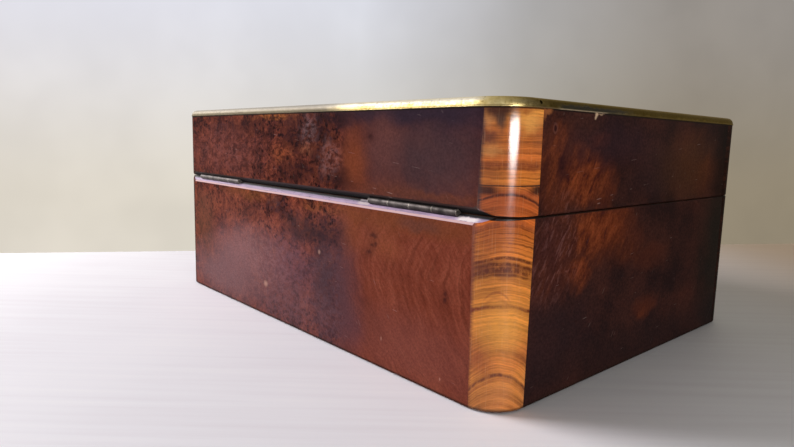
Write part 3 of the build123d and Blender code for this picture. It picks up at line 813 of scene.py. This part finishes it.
def banding_grain():
    """Short grain that runs square to the edge of the top."""
    g = Surface("top_banding_grain", **POLISH)
    side = g.math("GREATER_THAN", abs(g.x) - HALF_LENGTH, abs(g.y) - HALF_WIDTH)
    along = g.y * side + g.x * (1 - side)
    across = g.x * side + g.y * (1 - side)
    grain = g.noise(g.vector(along, across * 0.12, 0), 1.3, 4, 0.6)
    figure = grain * 0.6 + g.noise(g.place, 22) * 0.4
    colour = g.ramp(figure, (0.34, 0.5, 0.66), (30, 9, 7), (95, 26, 15), (190, 56, 24))
    return polished(g, colour, grain, g.x, g.y)


def book_matched_top():
    """Two leaves of burr, opened like a book along the middle of the top."""
    g = Surface("top_burr", **POLISH)
    colour, figure = smoky_burr(g, g.vector(abs(g.x), g.y, 40), 52, 0.55, 1.45, 19, 2.8)
    colour = g.mix(g.line(g.x, 0, 0.12, 0.4) * 0.7, colour, BLACK_BROWN)
    return polished(g, colour, figure, g.x, g.y)


# the boards' bevel along the seam at the rear: its depth, and how far it reaches above and below the seam
BEVEL_DEPTH = 3.7
BEVEL_REACH = 4.2
# the bevel's colours by their depth, as a share of a span
BEVEL_SPAN = 5


def mahogany(name, bevel_colour, gloss, roughness):
    """Oiled mahogany boards, with another colour on their rear bevel."""
    g = Surface(name, Specular_IOR_Level=gloss)
    grain = g.noise(g.vector(g.x * 0.05, g.y, g.z), 1.4, 4, 0.6)
    figure = grain * 0.7 + g.noise(g.place, 30) * 0.3
    wood = g.ramp(figure, (0.32, 0.5, 0.68), (75, 24, 13), (160, 60, 29), (250, 105, 50))
    bevel = g.step(g.from_rear, BEVEL_DEPTH + 0.05, BEVEL_DEPTH - 0.05) * g.line(g.z, SEAM, BEVEL_REACH, 0.05)
    return g.finish(g.mix(bevel, wood, bevel_colour(g)), roughness, grain, 0.08)


# filler on the bevel: place along the rear, half length, depth, half width and colour
FILLED = (
    (HINGE_LOW.x - 5.4, 5, 1.75, 0.75, (740, 660, 660)),
    (HINGE_HIGH.x + 4.2, 3.8, 1.9, 0.5, (460, 380, 390)),
)


def case_bevel(g):
    """Worn pale, black with painted shade deep in the groove, and filled beside the near hinge."""
    # the last tone, near black, is painted shade at the bottom of the groove
    greys = ((500, 310, 330), (360, 250, 360), (315, 225, 350), (190, 150, 220), (10, 9, 10))
    worn = g.ramp(g.from_rear / BEVEL_SPAN, (0.06, 0.16, 0.4, 0.5, 0.56), *greys)
    streak = g.noise(g.vector(g.x * 0.05, g.y, g.z), 0.45, 3, 0.6)
    fleck = g.noise(g.vector(g.x * 0.3, g.y, g.z), 0.9, 3, 0.6)
    worn = g.scaled(worn, g.step(streak, 0.35, 0.6, 0.66, 1.12))
    worn = g.mix(g.step(fleck, 0.4, 0.33) * 0.6, worn, (60, 45, 65))
    edge = g.noise(g.vector(g.x, g.y, 4), 1.6, 4, 0.7) - 0.5
    along, deep = g.x + edge * 3, g.from_rear + edge * 1.2
    for middle, reach, depth, half, tint in FILLED:
        worn = g.mix(g.line(along, middle, reach, 0.35) * g.line(deep, depth, half, 0.4), worn, tint)
    tip = g.line(g.x, HINGE_HIGH.x + 4, 3.9, 0.15) * g.line(g.from_rear, 3.15, 0.35, 0.3)
    return g.mix(tip * 0.9, worn, (360, 310, 340))


def lid_bevel_shade(g):
    """Painted shade: dark, and black in the groove."""
    shade_tones = ((50, 22, 20), (12, 7, 8), (3, 3, 3))
    return g.ramp(g.from_rear / BEVEL_SPAN, (0.1, 0.24, 0.45), *shade_tones)


# ---- metal ----
def rim_brass():
    """Old brass, olive, with a painted highlight on the rear near the viewed corner and black along the foot
    on the near end. The near end has painted light along its top and its lip, and the far rear is dulled,
    with a painted reflection along its top and painted shade under it.
    """
    g = Surface("old_rim_brass", Specular_IOR_Level=0.15, Specular_Tint=(950, 820, 550))
    u = g.from_rear
    up = g.z - RIM_LOW.z
    olive = g.noise(g.warped(g.place, 12, 10), 16, 4, 0.6)
    fine = g.noise(g.place, 1.6, 4, 0.65)
    tone = olive * 0.6 + fine * 0.4
    colour = g.ramp(tone, (0.36, 0.5, 0.66), (420, 310, 100), (680, 530, 220), (840, 710, 380))
    ragged = u + (g.noise(g.place, 8, 4, 0.65) - 0.5) * 34
    near_end = g.step(g.from_end, 22, 2) * g.step(ragged, -14, 26)
    # the far rear: dulled brass with a painted reflection of a pale backdrop along its top and painted shade
    # under it
    far_rear = g.step(g.x + olive * 40, -50, 0) * g.step(u, 9, 4)
    foot = g.z + (g.noise(g.place, 3, 4, 0.65) - 0.5) * 3.2
    black = g.step(ragged, 26, 34) * g.step(ragged, 96, 66) * g.step(foot, 117.4, 116.4)
    black = black * g.step(g.from_end, 5.5, 3)
    # a painted highlight, pale cream, on the rear's upper face near the viewed corner
    painted_highlight = g.step(u, 7, 3) * g.step(g.from_end, 10, 18) * g.step(g.z, 116.4, 117.6)
    # the near end's painted light: lighter along the top of the rim
    crown = g.mix(g.step(g.z, 117.4, 118.4), (36, 23, 5), (150, 105, 24))
    # a painted highlight along the lip's edge
    lip_highlight = g.step(up, 0.4, 0.25) * g.step(ragged, 12, 20) * g.step(ragged, 70, 56) * g.step(g.from_end, 2, 0)
    specks = g.step(g.cells(g.place, 2.6), 0.16, 0.09) * g.step(olive, 0.5, 0.6)
    colour = g.layered(
        colour,
        (painted_highlight * 0.75, (970, 920, 780)),
        # the near end: olive patina, with painted light at its top and a painted highlight along the lip at
        # its foot
        (near_end * 0.94, g.mix(g.step(foot, 115.9, 115.2), crown, (150, 110, 36))),
        # far rear: painted reflection above, painted shade below
        (far_rear * 0.9, g.mix(g.step(g.z, 115.7, 117), (50, 47, 50), (250, 232, 210))),
        (black * 0.95, (6, 5, 3)),
        (g.step(up, 0.75, 0.5) * g.step(up, 0, 0.4) * 0.35, (90, 70, 30)),
        (lip_highlight * 0.55, (400, 310, 200)),
        (specks * 0.6, (80, 60, 30)),
    )
    roughness = g.step(fine, 0.3, 0.7, 0.26, 0.44) + far_rear * 0.35
    rub = g.noise(g.vector(g.x * 0.4, g.y * 0.4, g.z * 6), 2)
    bare = g.step(black + specks * 0.5, 0, 1, 1, 0) - far_rear * 0.55
    return g.finish(colour, roughness, rub * 0.4 + fine * 0.5, 0.05, Metallic=bare)


KNUCKLES = 4


def knuckle_highlights(g, colour, fine):
    """colour, with painted highlights at the ends of the hinges' knuckles."""
    for side in ("left", "right"):
        low, high = node_box(f"hinge_{side}_case_leaf")
        pitch = (high.x - low.x) / KNUCKLES
        for n in range(KNUCKLES + 1):
            # a painted highlight along each joint between knuckles
            painted_highlight = g.line(g.x, low.x + pitch * n, 0.28, 0.4) * g.step(fine, 0.35, 0.55, 0.12, 0.5)
            colour = g.mix(painted_highlight, colour, (400, 360, 310))
    return colour


# a metal is its dark and light tone, its roughness, the size of its tarnish, and the size and reach of swirls
METALS = {
    "aged_hinge_brass": ((24, 20, 19), (80, 68, 64), 0.44, 5, (6, 4)),
    "lock_brass": ((420, 300, 120), (780, 600, 280), 0.28, 8, (16, 8)),
    "old_steel": ((55, 45, 38), (260, 240, 220), 0.38, 3, (6, 3)),
}


def metal(name, dark, light, rough, blots, swirl):
    """Metal with tarnish in blots, pushed about in swirls of a size and reach."""
    g = Surface(name, Metallic=1)
    tarnish = g.noise(g.warped(g.place, *swirl), blots, 4, 0.62)
    fine = g.noise(g.place, 0.5, 3, 0.6)
    colour = g.ramp(tarnish, (0.34, 0.66), dark, light)
    if name == "aged_hinge_brass":
        colour = knuckle_highlights(g, colour, fine)
    return g.finish(colour, g.step(tarnish, 0.35, 0.65, rough + 0.14, rough), fine, 0.02)


# ---- cloth ----
RIB_PITCH = 0.55


def silk():
    """Faded crimson satin with a fine ribbed weave."""
    sheen = {"Sheen_Weight": 0.5, "Sheen_Roughness": 0.35, "Sheen_Tint": (1000, 550, 600)}
    g = Surface("crimson_silk", Specular_IOR_Level=0.4, **sheen)
    fade = g.noise(g.place, 34, 4, 0.6)
    slub = g.noise(g.vector(g.x * 0.12, g.y, g.z), 0.8, 3, 0.6)
    colour = g.ramp(fade, (0.34, 0.5, 0.68), (200, 14, 28), (300, 25, 45), (400, 55, 70))
    colour = g.scaled(colour, g.step(slub, 0.3, 0.7, 0.88, 1.08))
    turn = 2 * pi / RIB_PITCH
    ribs = g.math("SINE", (g.x + g.y) * turn) * 0.3 + g.math("SINE", g.z * turn) * 0.3
    return g.finish(colour, g.step(fade, 0.3, 0.7, 0.42, 0.56), ribs + slub, 0.03)


def baize():
    """Worn green baize under the box."""
    g = Surface("green_baize", Sheen_Weight=0.6, Sheen_Roughness=0.6)
    fibre = g.noise(g.place, 0.6, 4, 0.7)
    worn = g.noise(g.place, 26, 4, 0.6)
    colour = g.ramp(fibre * 0.5 + worn * 0.5, (0.34, 0.66), (12, 45, 22), (50, 125, 60))
    return g.finish(colour, 0.95, fibre, 0.2)


# ---- the CAD nodes' finishes ----
def dress_frame():
    """Gives every CAD node its finish, and returns the finishes by slot."""
    by_node = {
        "case_rear_veneer": rear_veneer("case_rear_burr", CASE_REAR, 11, CASE_REAR_STAINS),
        "lid_rear_veneer": rear_veneer("lid_rear_burr", LID_REAR, 63, LID_REAR_STAINS),
        "case_left_veneer": case_end(),
        "lid_left_veneer": lid_end(),
        "lid_top_veneer": book_matched_top(),
        "lid_top_banding": banding_grain(),
    }
    for half in ("case", "lid"):
        by_node[f"{half}_front_veneer"] = plain_burr(f"{half}_front_burr", "x", seed=120)
        by_node[f"{half}_right_veneer"] = plain_burr(f"{half}_right_burr", "y", seed=180, tone=0.8)
    lid_wood = mahogany("lid_mahogany", lid_bevel_shade, gloss=0.1, roughness=0.6)
    by_slot = {
        "carcass_wood": mahogany("case_mahogany", case_bevel, gloss=0.3, roughness=0.5),
        "golden_corner_veneer": golden_strip(),
        "dark_corner_veneer": dark_cross_grain(),
        "rim_brass": rim_brass(),
        "silk_lining": silk(),
        "baize": baize(),
    }
    for name, look in METALS.items():
        by_slot[name] = metal(name, *look)
    for name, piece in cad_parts.items():
        slot = piece.material_slots[0].material.name
        finish = by_node.get(name) or by_slot[slot]
        if slot == "carcass_wood" and name.startswith("lid"):
            finish = lid_wood
        piece.material_slots[0].material = finish
    return by_slot


# ---- brass rim ----
RIM_WIDTH = 4.2
RIM_ROUND = 3
RIM_ROUND_STEPS = 9
RIM_LIP = 0.5
RIM_LIP_EDGE = 0.12
RIM_PROUD = RIM_HIGH.x - HALF_LENGTH
RIM_SETBACK = 0.25
RIM_STATION = 4
RIM_ARC_STEPS = 14
RIM_EDGE = 0.1
RIM_SHOWN_FROM = 0.5 - RIM_WIDTH
RIM_CREASE = radians(38)
EMPTY_HOLE = (-HALF_LENGTH, HALF_WIDTH - 18, LID_TOP - 1.7)
EMPTY_HOLE_RADIUS = 0.75
EMPTY_HOLE_SIDES = 28
DRILL_LENGTH = 14


def rim_path():
    """Stations round the lid: a point on the veneer's face and the way out from it."""
    stations = []
    x, y = HALF_LENGTH - CORNER_RADIUS, HALF_WIDTH - CORNER_RADIUS
    centres = [Vector(place) for place in ((x, y, 0), (-x, y, 0), (-x, -y, 0), (x, -y, 0))]
    for n, centre in enumerate(centres):
        for k in range(RIM_ARC_STEPS + 1):
            a = radians(90 * n + 90 * k / RIM_ARC_STEPS)
            out = Vector((cos(a), sin(a), 0))
            stations.append((centre + out * CORNER_RADIUS, out))
        last, out = stations[-1]
        first = centres[(n + 1) % 4] + out * CORNER_RADIUS
        count = ceil((first - last).length / RIM_STATION)
        stations += [(last.lerp(first, k / count), out) for k in range(1, count)]
    return stations


def rim_profile():
    """The rim's section from its inner foot: how far out of the veneer's face, and how high."""
    face = RIM_PROUD - RIM_SETBACK
    foot = RIM_LOW.z
    points = [(-RIM_WIDTH, foot), (RIM_PROUD - RIM_EDGE, foot), (RIM_PROUD, foot + RIM_EDGE)]
    points += [(RIM_PROUD, foot + RIM_LIP - RIM_LIP_EDGE), (RIM_PROUD - RIM_EDGE, foot + RIM_LIP)]
    points.append((face, foot + RIM_LIP + RIM_EDGE))
    for k in range(RIM_ROUND_STEPS + 1):
        a = radians(90 * k / RIM_ROUND_STEPS)
        points.append((face - RIM_ROUND * (1 - cos(a)), LID_TOP - RIM_ROUND * (1 - sin(a))))
    return points + [(-RIM_WIDTH, LID_TOP)]


def add_rim(material):
    """The rim as a swept section, hammered a little out of true, with its one empty pin hole."""
    path = rim_path()
    profile = rim_profile()
    places = []
    for point, out in path:
        for step, height in profile:
            place = point + out * step + Vector((0, 0, height))
            if step > RIM_SHOWN_FROM:
                dent = noise.noise(place / 11) * 0.1 + noise.noise(place / 3.5) * 0.05
                place -= out * max(0, dent)
            places.append(place)
    mesh = mesh_from("brass_rim", places, ring_faces(len(path), len(profile), closed=True))
    rim = add_piece("brass_rim", mesh, material, "lid")
    drill = bmesh.new()
    at = Matrix.Translation(Vector(EMPTY_HOLE) * MM) @ Matrix.Rotation(pi / 2, 4, "Y")
    size = {"radius1": EMPTY_HOLE_RADIUS * MM, "radius2": EMPTY_HOLE_RADIUS * MM, "depth": DRILL_LENGTH * MM}
    bmesh.ops.create_cone(drill, cap_ends=True, segments=EMPTY_HOLE_SIDES, matrix=at, **size)
    cut(rim, "drill", drill)
    rim.data.set_sharp_from_angle(angle=RIM_CREASE)
    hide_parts("lid_brass_rim")


# ---- screws ----
HEAD_RADIUS = 2.1
HEAD_DEPTH = 1.1
HEAD_EDGE = 0.12
SHANK_RADIUS = 1.1
TIP_RADIUS = 0.35
TIP_LENGTH = 0.15
SCREW_LENGTH = 9
SLOT_WIDTH = 0.7
SLOT_DEPTH = 0.5
SCREW_SIDES = 32
SCREW_CREASE = radians(35)
THREAD_PITCH = 1.1
THREAD_FROM = 2.6
THREAD_SHORT_OF_TIP = 1.2
THREAD_ROOT = 0.72
SCREW_TAPER = 0.35
LEAF_SCREW_FROM_END = 9
LEAF_SCREW_FROM_REAR = 6.6


def screw_mesh():
    """One countersunk screw, head up at the origin, with a slot and a thread. In millimetres."""
    section = [(HEAD_RADIUS, 0), (HEAD_RADIUS, -HEAD_EDGE), (SHANK_RADIUS, -HEAD_DEPTH)]
    z = -THREAD_FROM
    while z > THREAD_SHORT_OF_TIP - SCREW_LENGTH:
        crest = SHANK_RADIUS * (1 + SCREW_TAPER * z / SCREW_LENGTH)
        section += [(crest, z), (crest * THREAD_ROOT, z - THREAD_PITCH / 2)]
        z -= THREAD_PITCH
    section.append((TIP_RADIUS, TIP_LENGTH - SCREW_LENGTH))
    angles = [2 * pi * k / SCREW_SIDES for k in range(SCREW_SIDES)]
    places = [(radius * cos(a), radius * sin(a), z) for radius, z in section for a in angles]
    faces = ring_faces(len(section), SCREW_SIDES, closed=False)
    faces += [tuple(range(SCREW_SIDES)), tuple(range(len(places) - 1, len(places) - SCREW_SIDES - 1, -1))]
    screw = add_object("screw", mesh_from("screw", places, faces, unit=1))
    slot = bmesh.new()
    size = Matrix.Diagonal((HEAD_RADIUS * 2.4, SLOT_WIDTH, SLOT_DEPTH * 2, 1))
    bmesh.ops.create_cube(slot, size=1, matrix=size)
    cut(screw, "slot", slot)
    mesh = screw.data
    bpy.data.objects.remove(screw)
    return mesh


def add_screws(mesh, name, node, body, facing, columns, material):
    """Screws in the places of one CAD group, their slots left at odd angles."""
    low, high = node_box(node)
    head = high.z if facing > 0 else low.z
    flip = Matrix.Rotation(0 if facing > 0 else pi, 4, "X")
    joined = bmesh.new()
    for n, (x, y) in enumerate(columns):
        spin = Matrix.Rotation(noise.noise((x / 9, y / 9, 3.1 + n)) * pi, 4, "Z")
        one = mesh.copy()
        one.transform(Matrix.Translation((x, y, head)) @ flip @ spin)
        joined.from_mesh(one)
        bpy.data.meshes.remove(one)
    made = mesh_of(name, joined)
    made.transform(Matrix.Scale(MM, 4))
    piece = add_piece(name, made, material, body)
    made.set_sharp_from_angle(angle=SCREW_CREASE)
    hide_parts(node)


def leaf_columns(half):
    """Three places along each of two hinge leaves."""
    columns = []
    for side in ("left", "right"):
        low, high = node_box(f"hinge_{side}_{half}_leaf")
        for x in (low.x + LEAF_SCREW_FROM_END, (low.x + high.x) / 2, high.x - LEAF_SCREW_FROM_END):
            columns.append((x, HALF_WIDTH - LEAF_SCREW_FROM_REAR))
    return columns


def pair_columns(node):
    """The two places of a pair of screws, from the box round the pair."""
    low, high = node_box(node)
    y = (low.y + high.y) / 2
    return [(low.x + HEAD_RADIUS, y), (high.x - HEAD_RADIUS, y)]


def add_all_screws(material):
    mesh = screw_mesh()
    for name, node, body, facing, columns in (
        ("hinge_case_screw_set", "hinge_case_screws", "case", 1, leaf_columns("case")),
        ("hinge_lid_screw_set", "hinge_lid_screws", "lid", -1, leaf_columns("lid")),
        ("lock_screw_set", "lock_screws", "case", 1, pair_columns("lock_screws")),
        ("link_screw_set", "lid_link_screws", "lid", -1, pair_columns("lid_link_screws")),
    ):
        add_screws(mesh, name, node, body, facing, columns, material)
    bpy.data.meshes.remove(mesh)


# ---- silk ----
PAD_MARGIN = 0.6
PAD_CELL = 3.2
PAD_FRAMES = 20
PAD_START = 0.42
PAD_EASED_FROM = 0.35
PAD_FOOT = 0.15
PAD_DIMPLE = 0.35
PAD_EDGE = 0.4
PAD_LEAST = 0.1
PAD_CLEARANCE = 0.25
BUTTON_FROM_EDGE = 8
BUTTON_HELD_AT = 0.9
BUTTON_PLACE = 1.25
BUTTON_RADII = (2.7, 2.7, 1.1)


def button_places(half_x, half_y, columns, rows):
    """Buttons in a diamond lattice inside a rectangle."""
    room_x, room_y = half_x - BUTTON_FROM_EDGE, half_y - BUTTON_FROM_EDGE
    places = []
    for row in range(1, 2 * rows):
        for column in range(1, 2 * columns):
            x, y = half_x * (column / columns - 1), half_y * (row / rows - 1)
            if (column + row) % 2 == 0 and abs(x) < room_x and abs(y) < room_y:
                places.append((x, y))
    return places


def quilted_pad(name, node, body, material, facing, columns, rows):
    """A silk pad, buttoned down in diamonds and swollen by a cloth simulation."""
    low, high = node_box(node)
    half_x, half_y = high.x - PAD_MARGIN, high.y - PAD_MARGIN
    thick = high.z - low.z
    buttons = button_places(half_x, half_y, columns, rows)
    pitch_x, pitch_y = half_x / columns, half_y / rows
    nx, ny = round(2 * half_x / PAD_CELL), round(2 * half_y / PAD_CELL)
    wave = sin if (columns + rows) % 2 == 0 else cos

    def place_at(upper, i, j):
        x, y = -half_x + 2 * half_x * i / nx, -half_y + 2 * half_y * j / ny
        a, b = (x / pitch_x + y / pitch_y) * pi / 2, (x / pitch_x - y / pitch_y) * pi / 2
        crown = PAD_DIMPLE + (1 - PAD_DIMPLE) * sqrt(abs(wave(a) * wave(b)))
        edge = PAD_EDGE if i in (0, nx) or j in (0, ny) else 1
        return x, y, thick * PAD_START * crown * edge if upper else PAD_FOOT

    pad = add_piece(name, sheet_mesh(name, nx, ny, place_at), material, body)
    top = (nx + 1) * (ny + 1)
    held = list(range(top)) + [top + n for n in grid_edge(nx, ny)]
    buttoned = Vector((0, 0, BUTTON_HELD_AT)) * MM
    for x, y in buttons:
        i, j = round((x + half_x) / (2 * half_x) * nx), round((y + half_y) / (2 * half_y) * ny)
        held.append(top + j * (nx + 1) + i)
        pad.data.vertices[held[-1]].co.z = buttoned.z
    group = pad.vertex_groups.new(name="held")
    group.add(held, 1, "REPLACE")
    swell(pad, group.name)
    for vertex in pad.data.vertices:
        vertex.co.z = crowned(max(vertex.co.z, PAD_LEAST * MM), (thick - PAD_CLEARANCE) * MM)
        vertex.co.x = min(max(vertex.co.x, -half_x * MM), half_x * MM)
        vertex.co.y = min(max(vertex.co.y, -half_y * MM), half_y * MM)
    base = low.z if facing > 0 else high.z
    pad.data.transform(Matrix.Translation((0, 0, base * MM)) @ Matrix.Scale(facing, 4, (0, 0, 1)))
    if facing < 0:
        pad.data.flip_normals()
    smooth = pad.modifiers.new("smooth", "SUBSURF")
    smooth.levels = smooth.render_levels = 1
    apply_modifiers(pad)
    pad.data.shade_smooth()
    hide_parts(node)
    add_buttons(name + "_buttons", buttons, base + facing * BUTTON_PLACE, body, material)


def crowned(height, limit):
    """The height of the cloth, eased off so that it stays under a limit with round crowns."""
    eased_from = limit * PAD_EASED_FROM
    room = limit - eased_from
    return height if height < eased_from else eased_from + room * (1 - exp((eased_from - height) / room))


CLOTH = {
    "quality": 6,
    "mass": 0.15,
    "tension_stiffness": 12,
    "compression_stiffness": 12,
    "shear_stiffness": 6,
    "bending_stiffness": 0.05,
    "use_pressure": True,
    "uniform_pressure_force": 5,
    "shrink_min": -0.06,
}


def swell(pad, held):
    """Runs a cloth simulation on the pad and keeps its last frame."""
    cloth = pad.modifiers.new("cloth", "CLOTH")
    for name, value in CLOTH.items():
        setattr(cloth.settings, name, value)
    cloth.settings.vertex_group_mass = held
    cloth.settings.effector_weights.gravity = 0
    cloth.point_cache.frame_start, cloth.point_cache.frame_end = 1, PAD_FRAMES
    scene = bpy.context.scene
    for number in range(1, PAD_FRAMES + 1):
        scene.frame_set(number)
    apply_modifiers(pad)
    scene.frame_set(1)


def add_buttons(name, buttons, height, body, material):
    """Small silk-covered buttons, one in each dimple."""
    shape = bmesh.new()
    size = Matrix.Diagonal((*(radius * MM for radius in BUTTON_RADII), 1))
    for x, y in buttons:
        place = Matrix.Translation(Vector((x, y, height)) * MM) @ size
        bmesh.ops.create_icosphere(shape, subdivisions=3, radius=1, matrix=place)
    add_piece(name, mesh_of(name, shape), material, body)


PLEAT = 6.5
PLEAT_CELL = 0.8
LINING_ROWS = 26
LINING_CREASE = radians(60)
LINING_MARGIN = 0.2
LINING_CARD = 0.08
LINING_LEAST = 0.3
LINING_CLEARANCE = 0.55
LINING_END = 1.2
LINING_PINCH = 9


def pleat(s, t, seed):
    """How far a pleat stands out, from 0 to 1, at s mm along the lining and a share t of its height."""
    drift = noise.noise((s / 23, t * 1.2, seed)) * 3 + noise.noise((s / 7, t * 2.5, seed + 5)) * 0.8
    fold = (0.5 + 0.5 * cos(2 * pi * (s + drift) / PLEAT)) ** 0.7
    fold = fold * (0.75 + 0.5 * noise.noise((s / 9, t * 3, seed + 9)))
    return max(0, min(1, fold)) * sqrt(max(0, min(1, t * LINING_PINCH, (1 - t) * LINING_PINCH)))


def pleated_lining(name, node, body, material, seed):
    """Gathered silk on a card: upright pleats, pinched along the top and foot."""
    low, high = node_box(node)
    along, out = (0, 1) if high.x - low.x > high.y - low.y else (1, 0)
    length = high[along] - low[along]
    inward = -1 if low[out] > 0 else 1
    wall = low[out] if inward > 0 else high[out]
    reach = high[out] - low[out] - LINING_CLEARANCE
    columns = round(length / PLEAT_CELL)

    def place_at(upper, i, j):
        s, t = length * i / columns, j / LINING_ROWS
        ends = min(1, s / LINING_END, (length - s) / LINING_END)
        depth = LINING_LEAST + pleat(s, t, seed) * reach * ends if upper else LINING_CARD
        place = Vector((0, 0, low.z + LINING_MARGIN + (high.z - low.z - 2 * LINING_MARGIN) * t))
        place[along] = low[along] + s
        place[out] = wall + inward * depth
        return place

    mesh = sheet_mesh(name, columns, LINING_ROWS, place_at)
    lining = add_piece(name, mesh, material, body)
    shape = bmesh.new()
    shape.from_mesh(mesh)
    bmesh.ops.recalc_face_normals(shape, faces=shape.faces)
    shape.to_mesh(mesh)
    shape.free()
    mesh.set_sharp_from_angle(angle=LINING_CREASE)
    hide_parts(node)


def add_silk(material):
    quilted_pad("case_silk_pad", "case_floor_pad", "case", material, facing=1, columns=5, rows=4)
    quilted_pad("lid_silk_pad", "lid_pad", "lid", material, facing=-1, columns=6, rows=4)
    for body in ("case", "lid"):
        for n, side in enumerate(("front", "rear", "left", "right")):
            name = f"{body}_silk_{side}"
            pleated_lining(name, f"{body}_lining_{side}", body, material, 11 * n + len(body))


# ---- stage ----
FLOOR_DROP = 0.15
FLOOR_REACH = 6000
WALL_AWAY = 177
WALL_WIDE = 1500
WALL_TALL = 1200
WALL_FACING = Vector((-0.862, 0.507, 0)).normalized()
WALL_SIDE = Vector((-0.507, -0.862, 0)).normalized()
BRIGHT_SIDE = (0.665, 0.747, 0)
CREAM_LOW = (1000, 1000, 1000)
CREAM_HIGH = (1070, 1160, 1490)


def floor_material():
    """Pale limed boards with faint streaks, darker and warmer to one side with painted shade."""
    g = Surface("pale_floor", Specular_IOR_Level=0.3)
    along = g.x * BRIGHT_SIDE[0] + g.y * BRIGHT_SIDE[1]
    across = g.x * BRIGHT_SIDE[1] - g.y * BRIGHT_SIDE[0]
    streaks = g.noise(g.vector(along * 0.03, across, 0), 5, 4, 0.6)
    tone = streaks * 0.55 + g.noise(g.place, 120, 2) * 0.45
    colour = g.ramp(tone, (0.36, 0.5, 0.64), (870, 845, 930), (910, 895, 980), (940, 925, 1000))
    aside = g.x * WALL_SIDE.x + g.y * WALL_SIDE.y
    # painted shade: the floor darkens and warms away to one side
    painted_shade = g.mix(g.step(aside, 70, 420), (1000, 1000, 980), (520, 400, 270))
    return g.finish(g.mix(1, colour, painted_shade, "MULTIPLY"), 0.62, streaks, 0.05)


def wall_material():
    """A plain cream backdrop of painted light, seen from its front alone, that darkens to one side and grows
    cooler towards the top as in the photograph.
    """
    g = Surface("cream_wall")
    along = g.x * WALL_SIDE.x + g.y * WALL_SIDE.y
    creams = ((745, 690, 600), (680, 640, 550), (400, 360, 280), (285, 240, 170))
    tone = g.ramp(g.step(along, -340, 330), (0, 0.45, 0.8, 1), *creams)
    cooler = g.mix(g.step(g.z, 40, 260), CREAM_LOW, CREAM_HIGH)
    mottle = g.step(g.noise(g.place, 120), 0.3, 0.7, 0.95, 1.05)
    # the wall glows with painted light; no lamp lights it
    light = g.node("Emission", {"Color": g.scaled(g.mix(1, tone, cooler, "MULTIPLY"), mottle)})
    behind = g.node("NewGeometry", output="Backfacing")
    shown = g.node("MixShader", {0: behind, 1: light, 2: g.node("BsdfTransparent")})
    g.put(g.tree.nodes["Material Output"].inputs["Surface"], shown)
    return g.material


def add_plane(name, corners, material):
    mesh = mesh_from(name, corners, [(0, 1, 2, 3)])
    mesh.materials.append(material)
    plane = add_object(name, mesh)
    return plane


def add_stage():
    square = ((-1, -1), (1, -1), (1, 1), (-1, 1))
    floor = [(x * FLOOR_REACH, y * FLOOR_REACH, -FLOOR_DROP) for x, y in square]
    add_plane("floor", floor, floor_material())
    foot = -WALL_FACING * WALL_AWAY
    wide, tall = WALL_SIDE * WALL_WIDE, Vector((0, 0, WALL_TALL))
    corners = (foot - wide, foot + wide, foot + wide + tall, foot - wide + tall)
    wall = add_plane("wall", corners, wall_material())
    wall.visible_shadow = False
    wall.visible_diffuse = False


# ---- light ----
# name, place, aim, size, watts, colour and spread in degrees
LAMPS = (
    ("key", (1286, 830, 650), (0, 0, 60), (900, 900), 38, (1, 0.97, 0.97), 180),
    ("streak", (-990, 380, 118), (-HALF_LENGTH, HALF_WIDTH, 100), (440, 100), 1.36, (1, 0.97, 0.96), 90),
    ("glow", (-985, 379, 40), (-HALF_LENGTH, HALF_WIDTH, 85), (260, 70), 0.35, (1, 0.88, 0.9), 180),
    ("fill", (300, -1200, 800), (0, 0, 60), (900, 900), 2, (1, 0.94, 0.76), 180),
)
WORLD_BRIGHT = (500, 485, 500)
WORLD_DIM = (104, 106, 80)
SEEN_BRIGHT = (800, 790, 780)
SEEN_DIM = (420, 390, 350)


def add_lamp(name, place, aim, size, watts, colour, spread):
    data = bpy.data.lights.new(name, "AREA")
    data.shape = "ELLIPSE"
    data.size, data.size_y = size[0] * MM, size[1] * MM
    data.energy = watts
    data.spread = radians(spread)
    data.color = colour
    lamp = add_object(name, data)
    lamp.location = Vector(place) * MM
    lamp.rotation_mode = "QUATERNION"
    lamp.rotation_quaternion = (Vector(aim) - Vector(place)).to_track_quat("-Z", "Y")
    lamp.visible_camera = False


def add_world():
    """Light from one side, and a paler background for what the camera, gloss and glass see."""
    world = bpy.data.worlds.new("world")
    bpy.context.scene.world = world
    world.use_nodes = True
    g = Graph(world.node_tree)
    facing = {0: g.node("TexCoord", output="Generated"), 1: BRIGHT_SIDE}
    toward = g.node("VectorMath", facing, "Value", operation="DOT_PRODUCT")
    lit = g.node("MapRange", {"Value": toward, "From Min": 0, "From Max": 0.9})
    pale = g.node("MapRange", {"Value": toward, "From Min": -0.7, "From Max": 0.7})
    rays = [g.node("LightPath", output=f"Is {kind} Ray") for kind in ("Camera", "Glossy", "Transmission")]
    seen = g.mix(pale, SEEN_DIM, SEEN_BRIGHT)
    colour = g.mix(g.largest(rays), g.mix(lit, WORLD_DIM, WORLD_BRIGHT), seen)
    g.put(g.tree.nodes["Background"].inputs["Color"], colour)


add_camera()
add_stage()
for lamp in LAMPS:
    add_lamp(*lamp)
add_world()
bpy.context.scene.view_settings.view_transform = "Standard"
finishes = dress_frame()
add_rim(finishes["rim_brass"])
add_all_screws(finishes["old_steel"])
add_silk(finishes["silk_lining"])
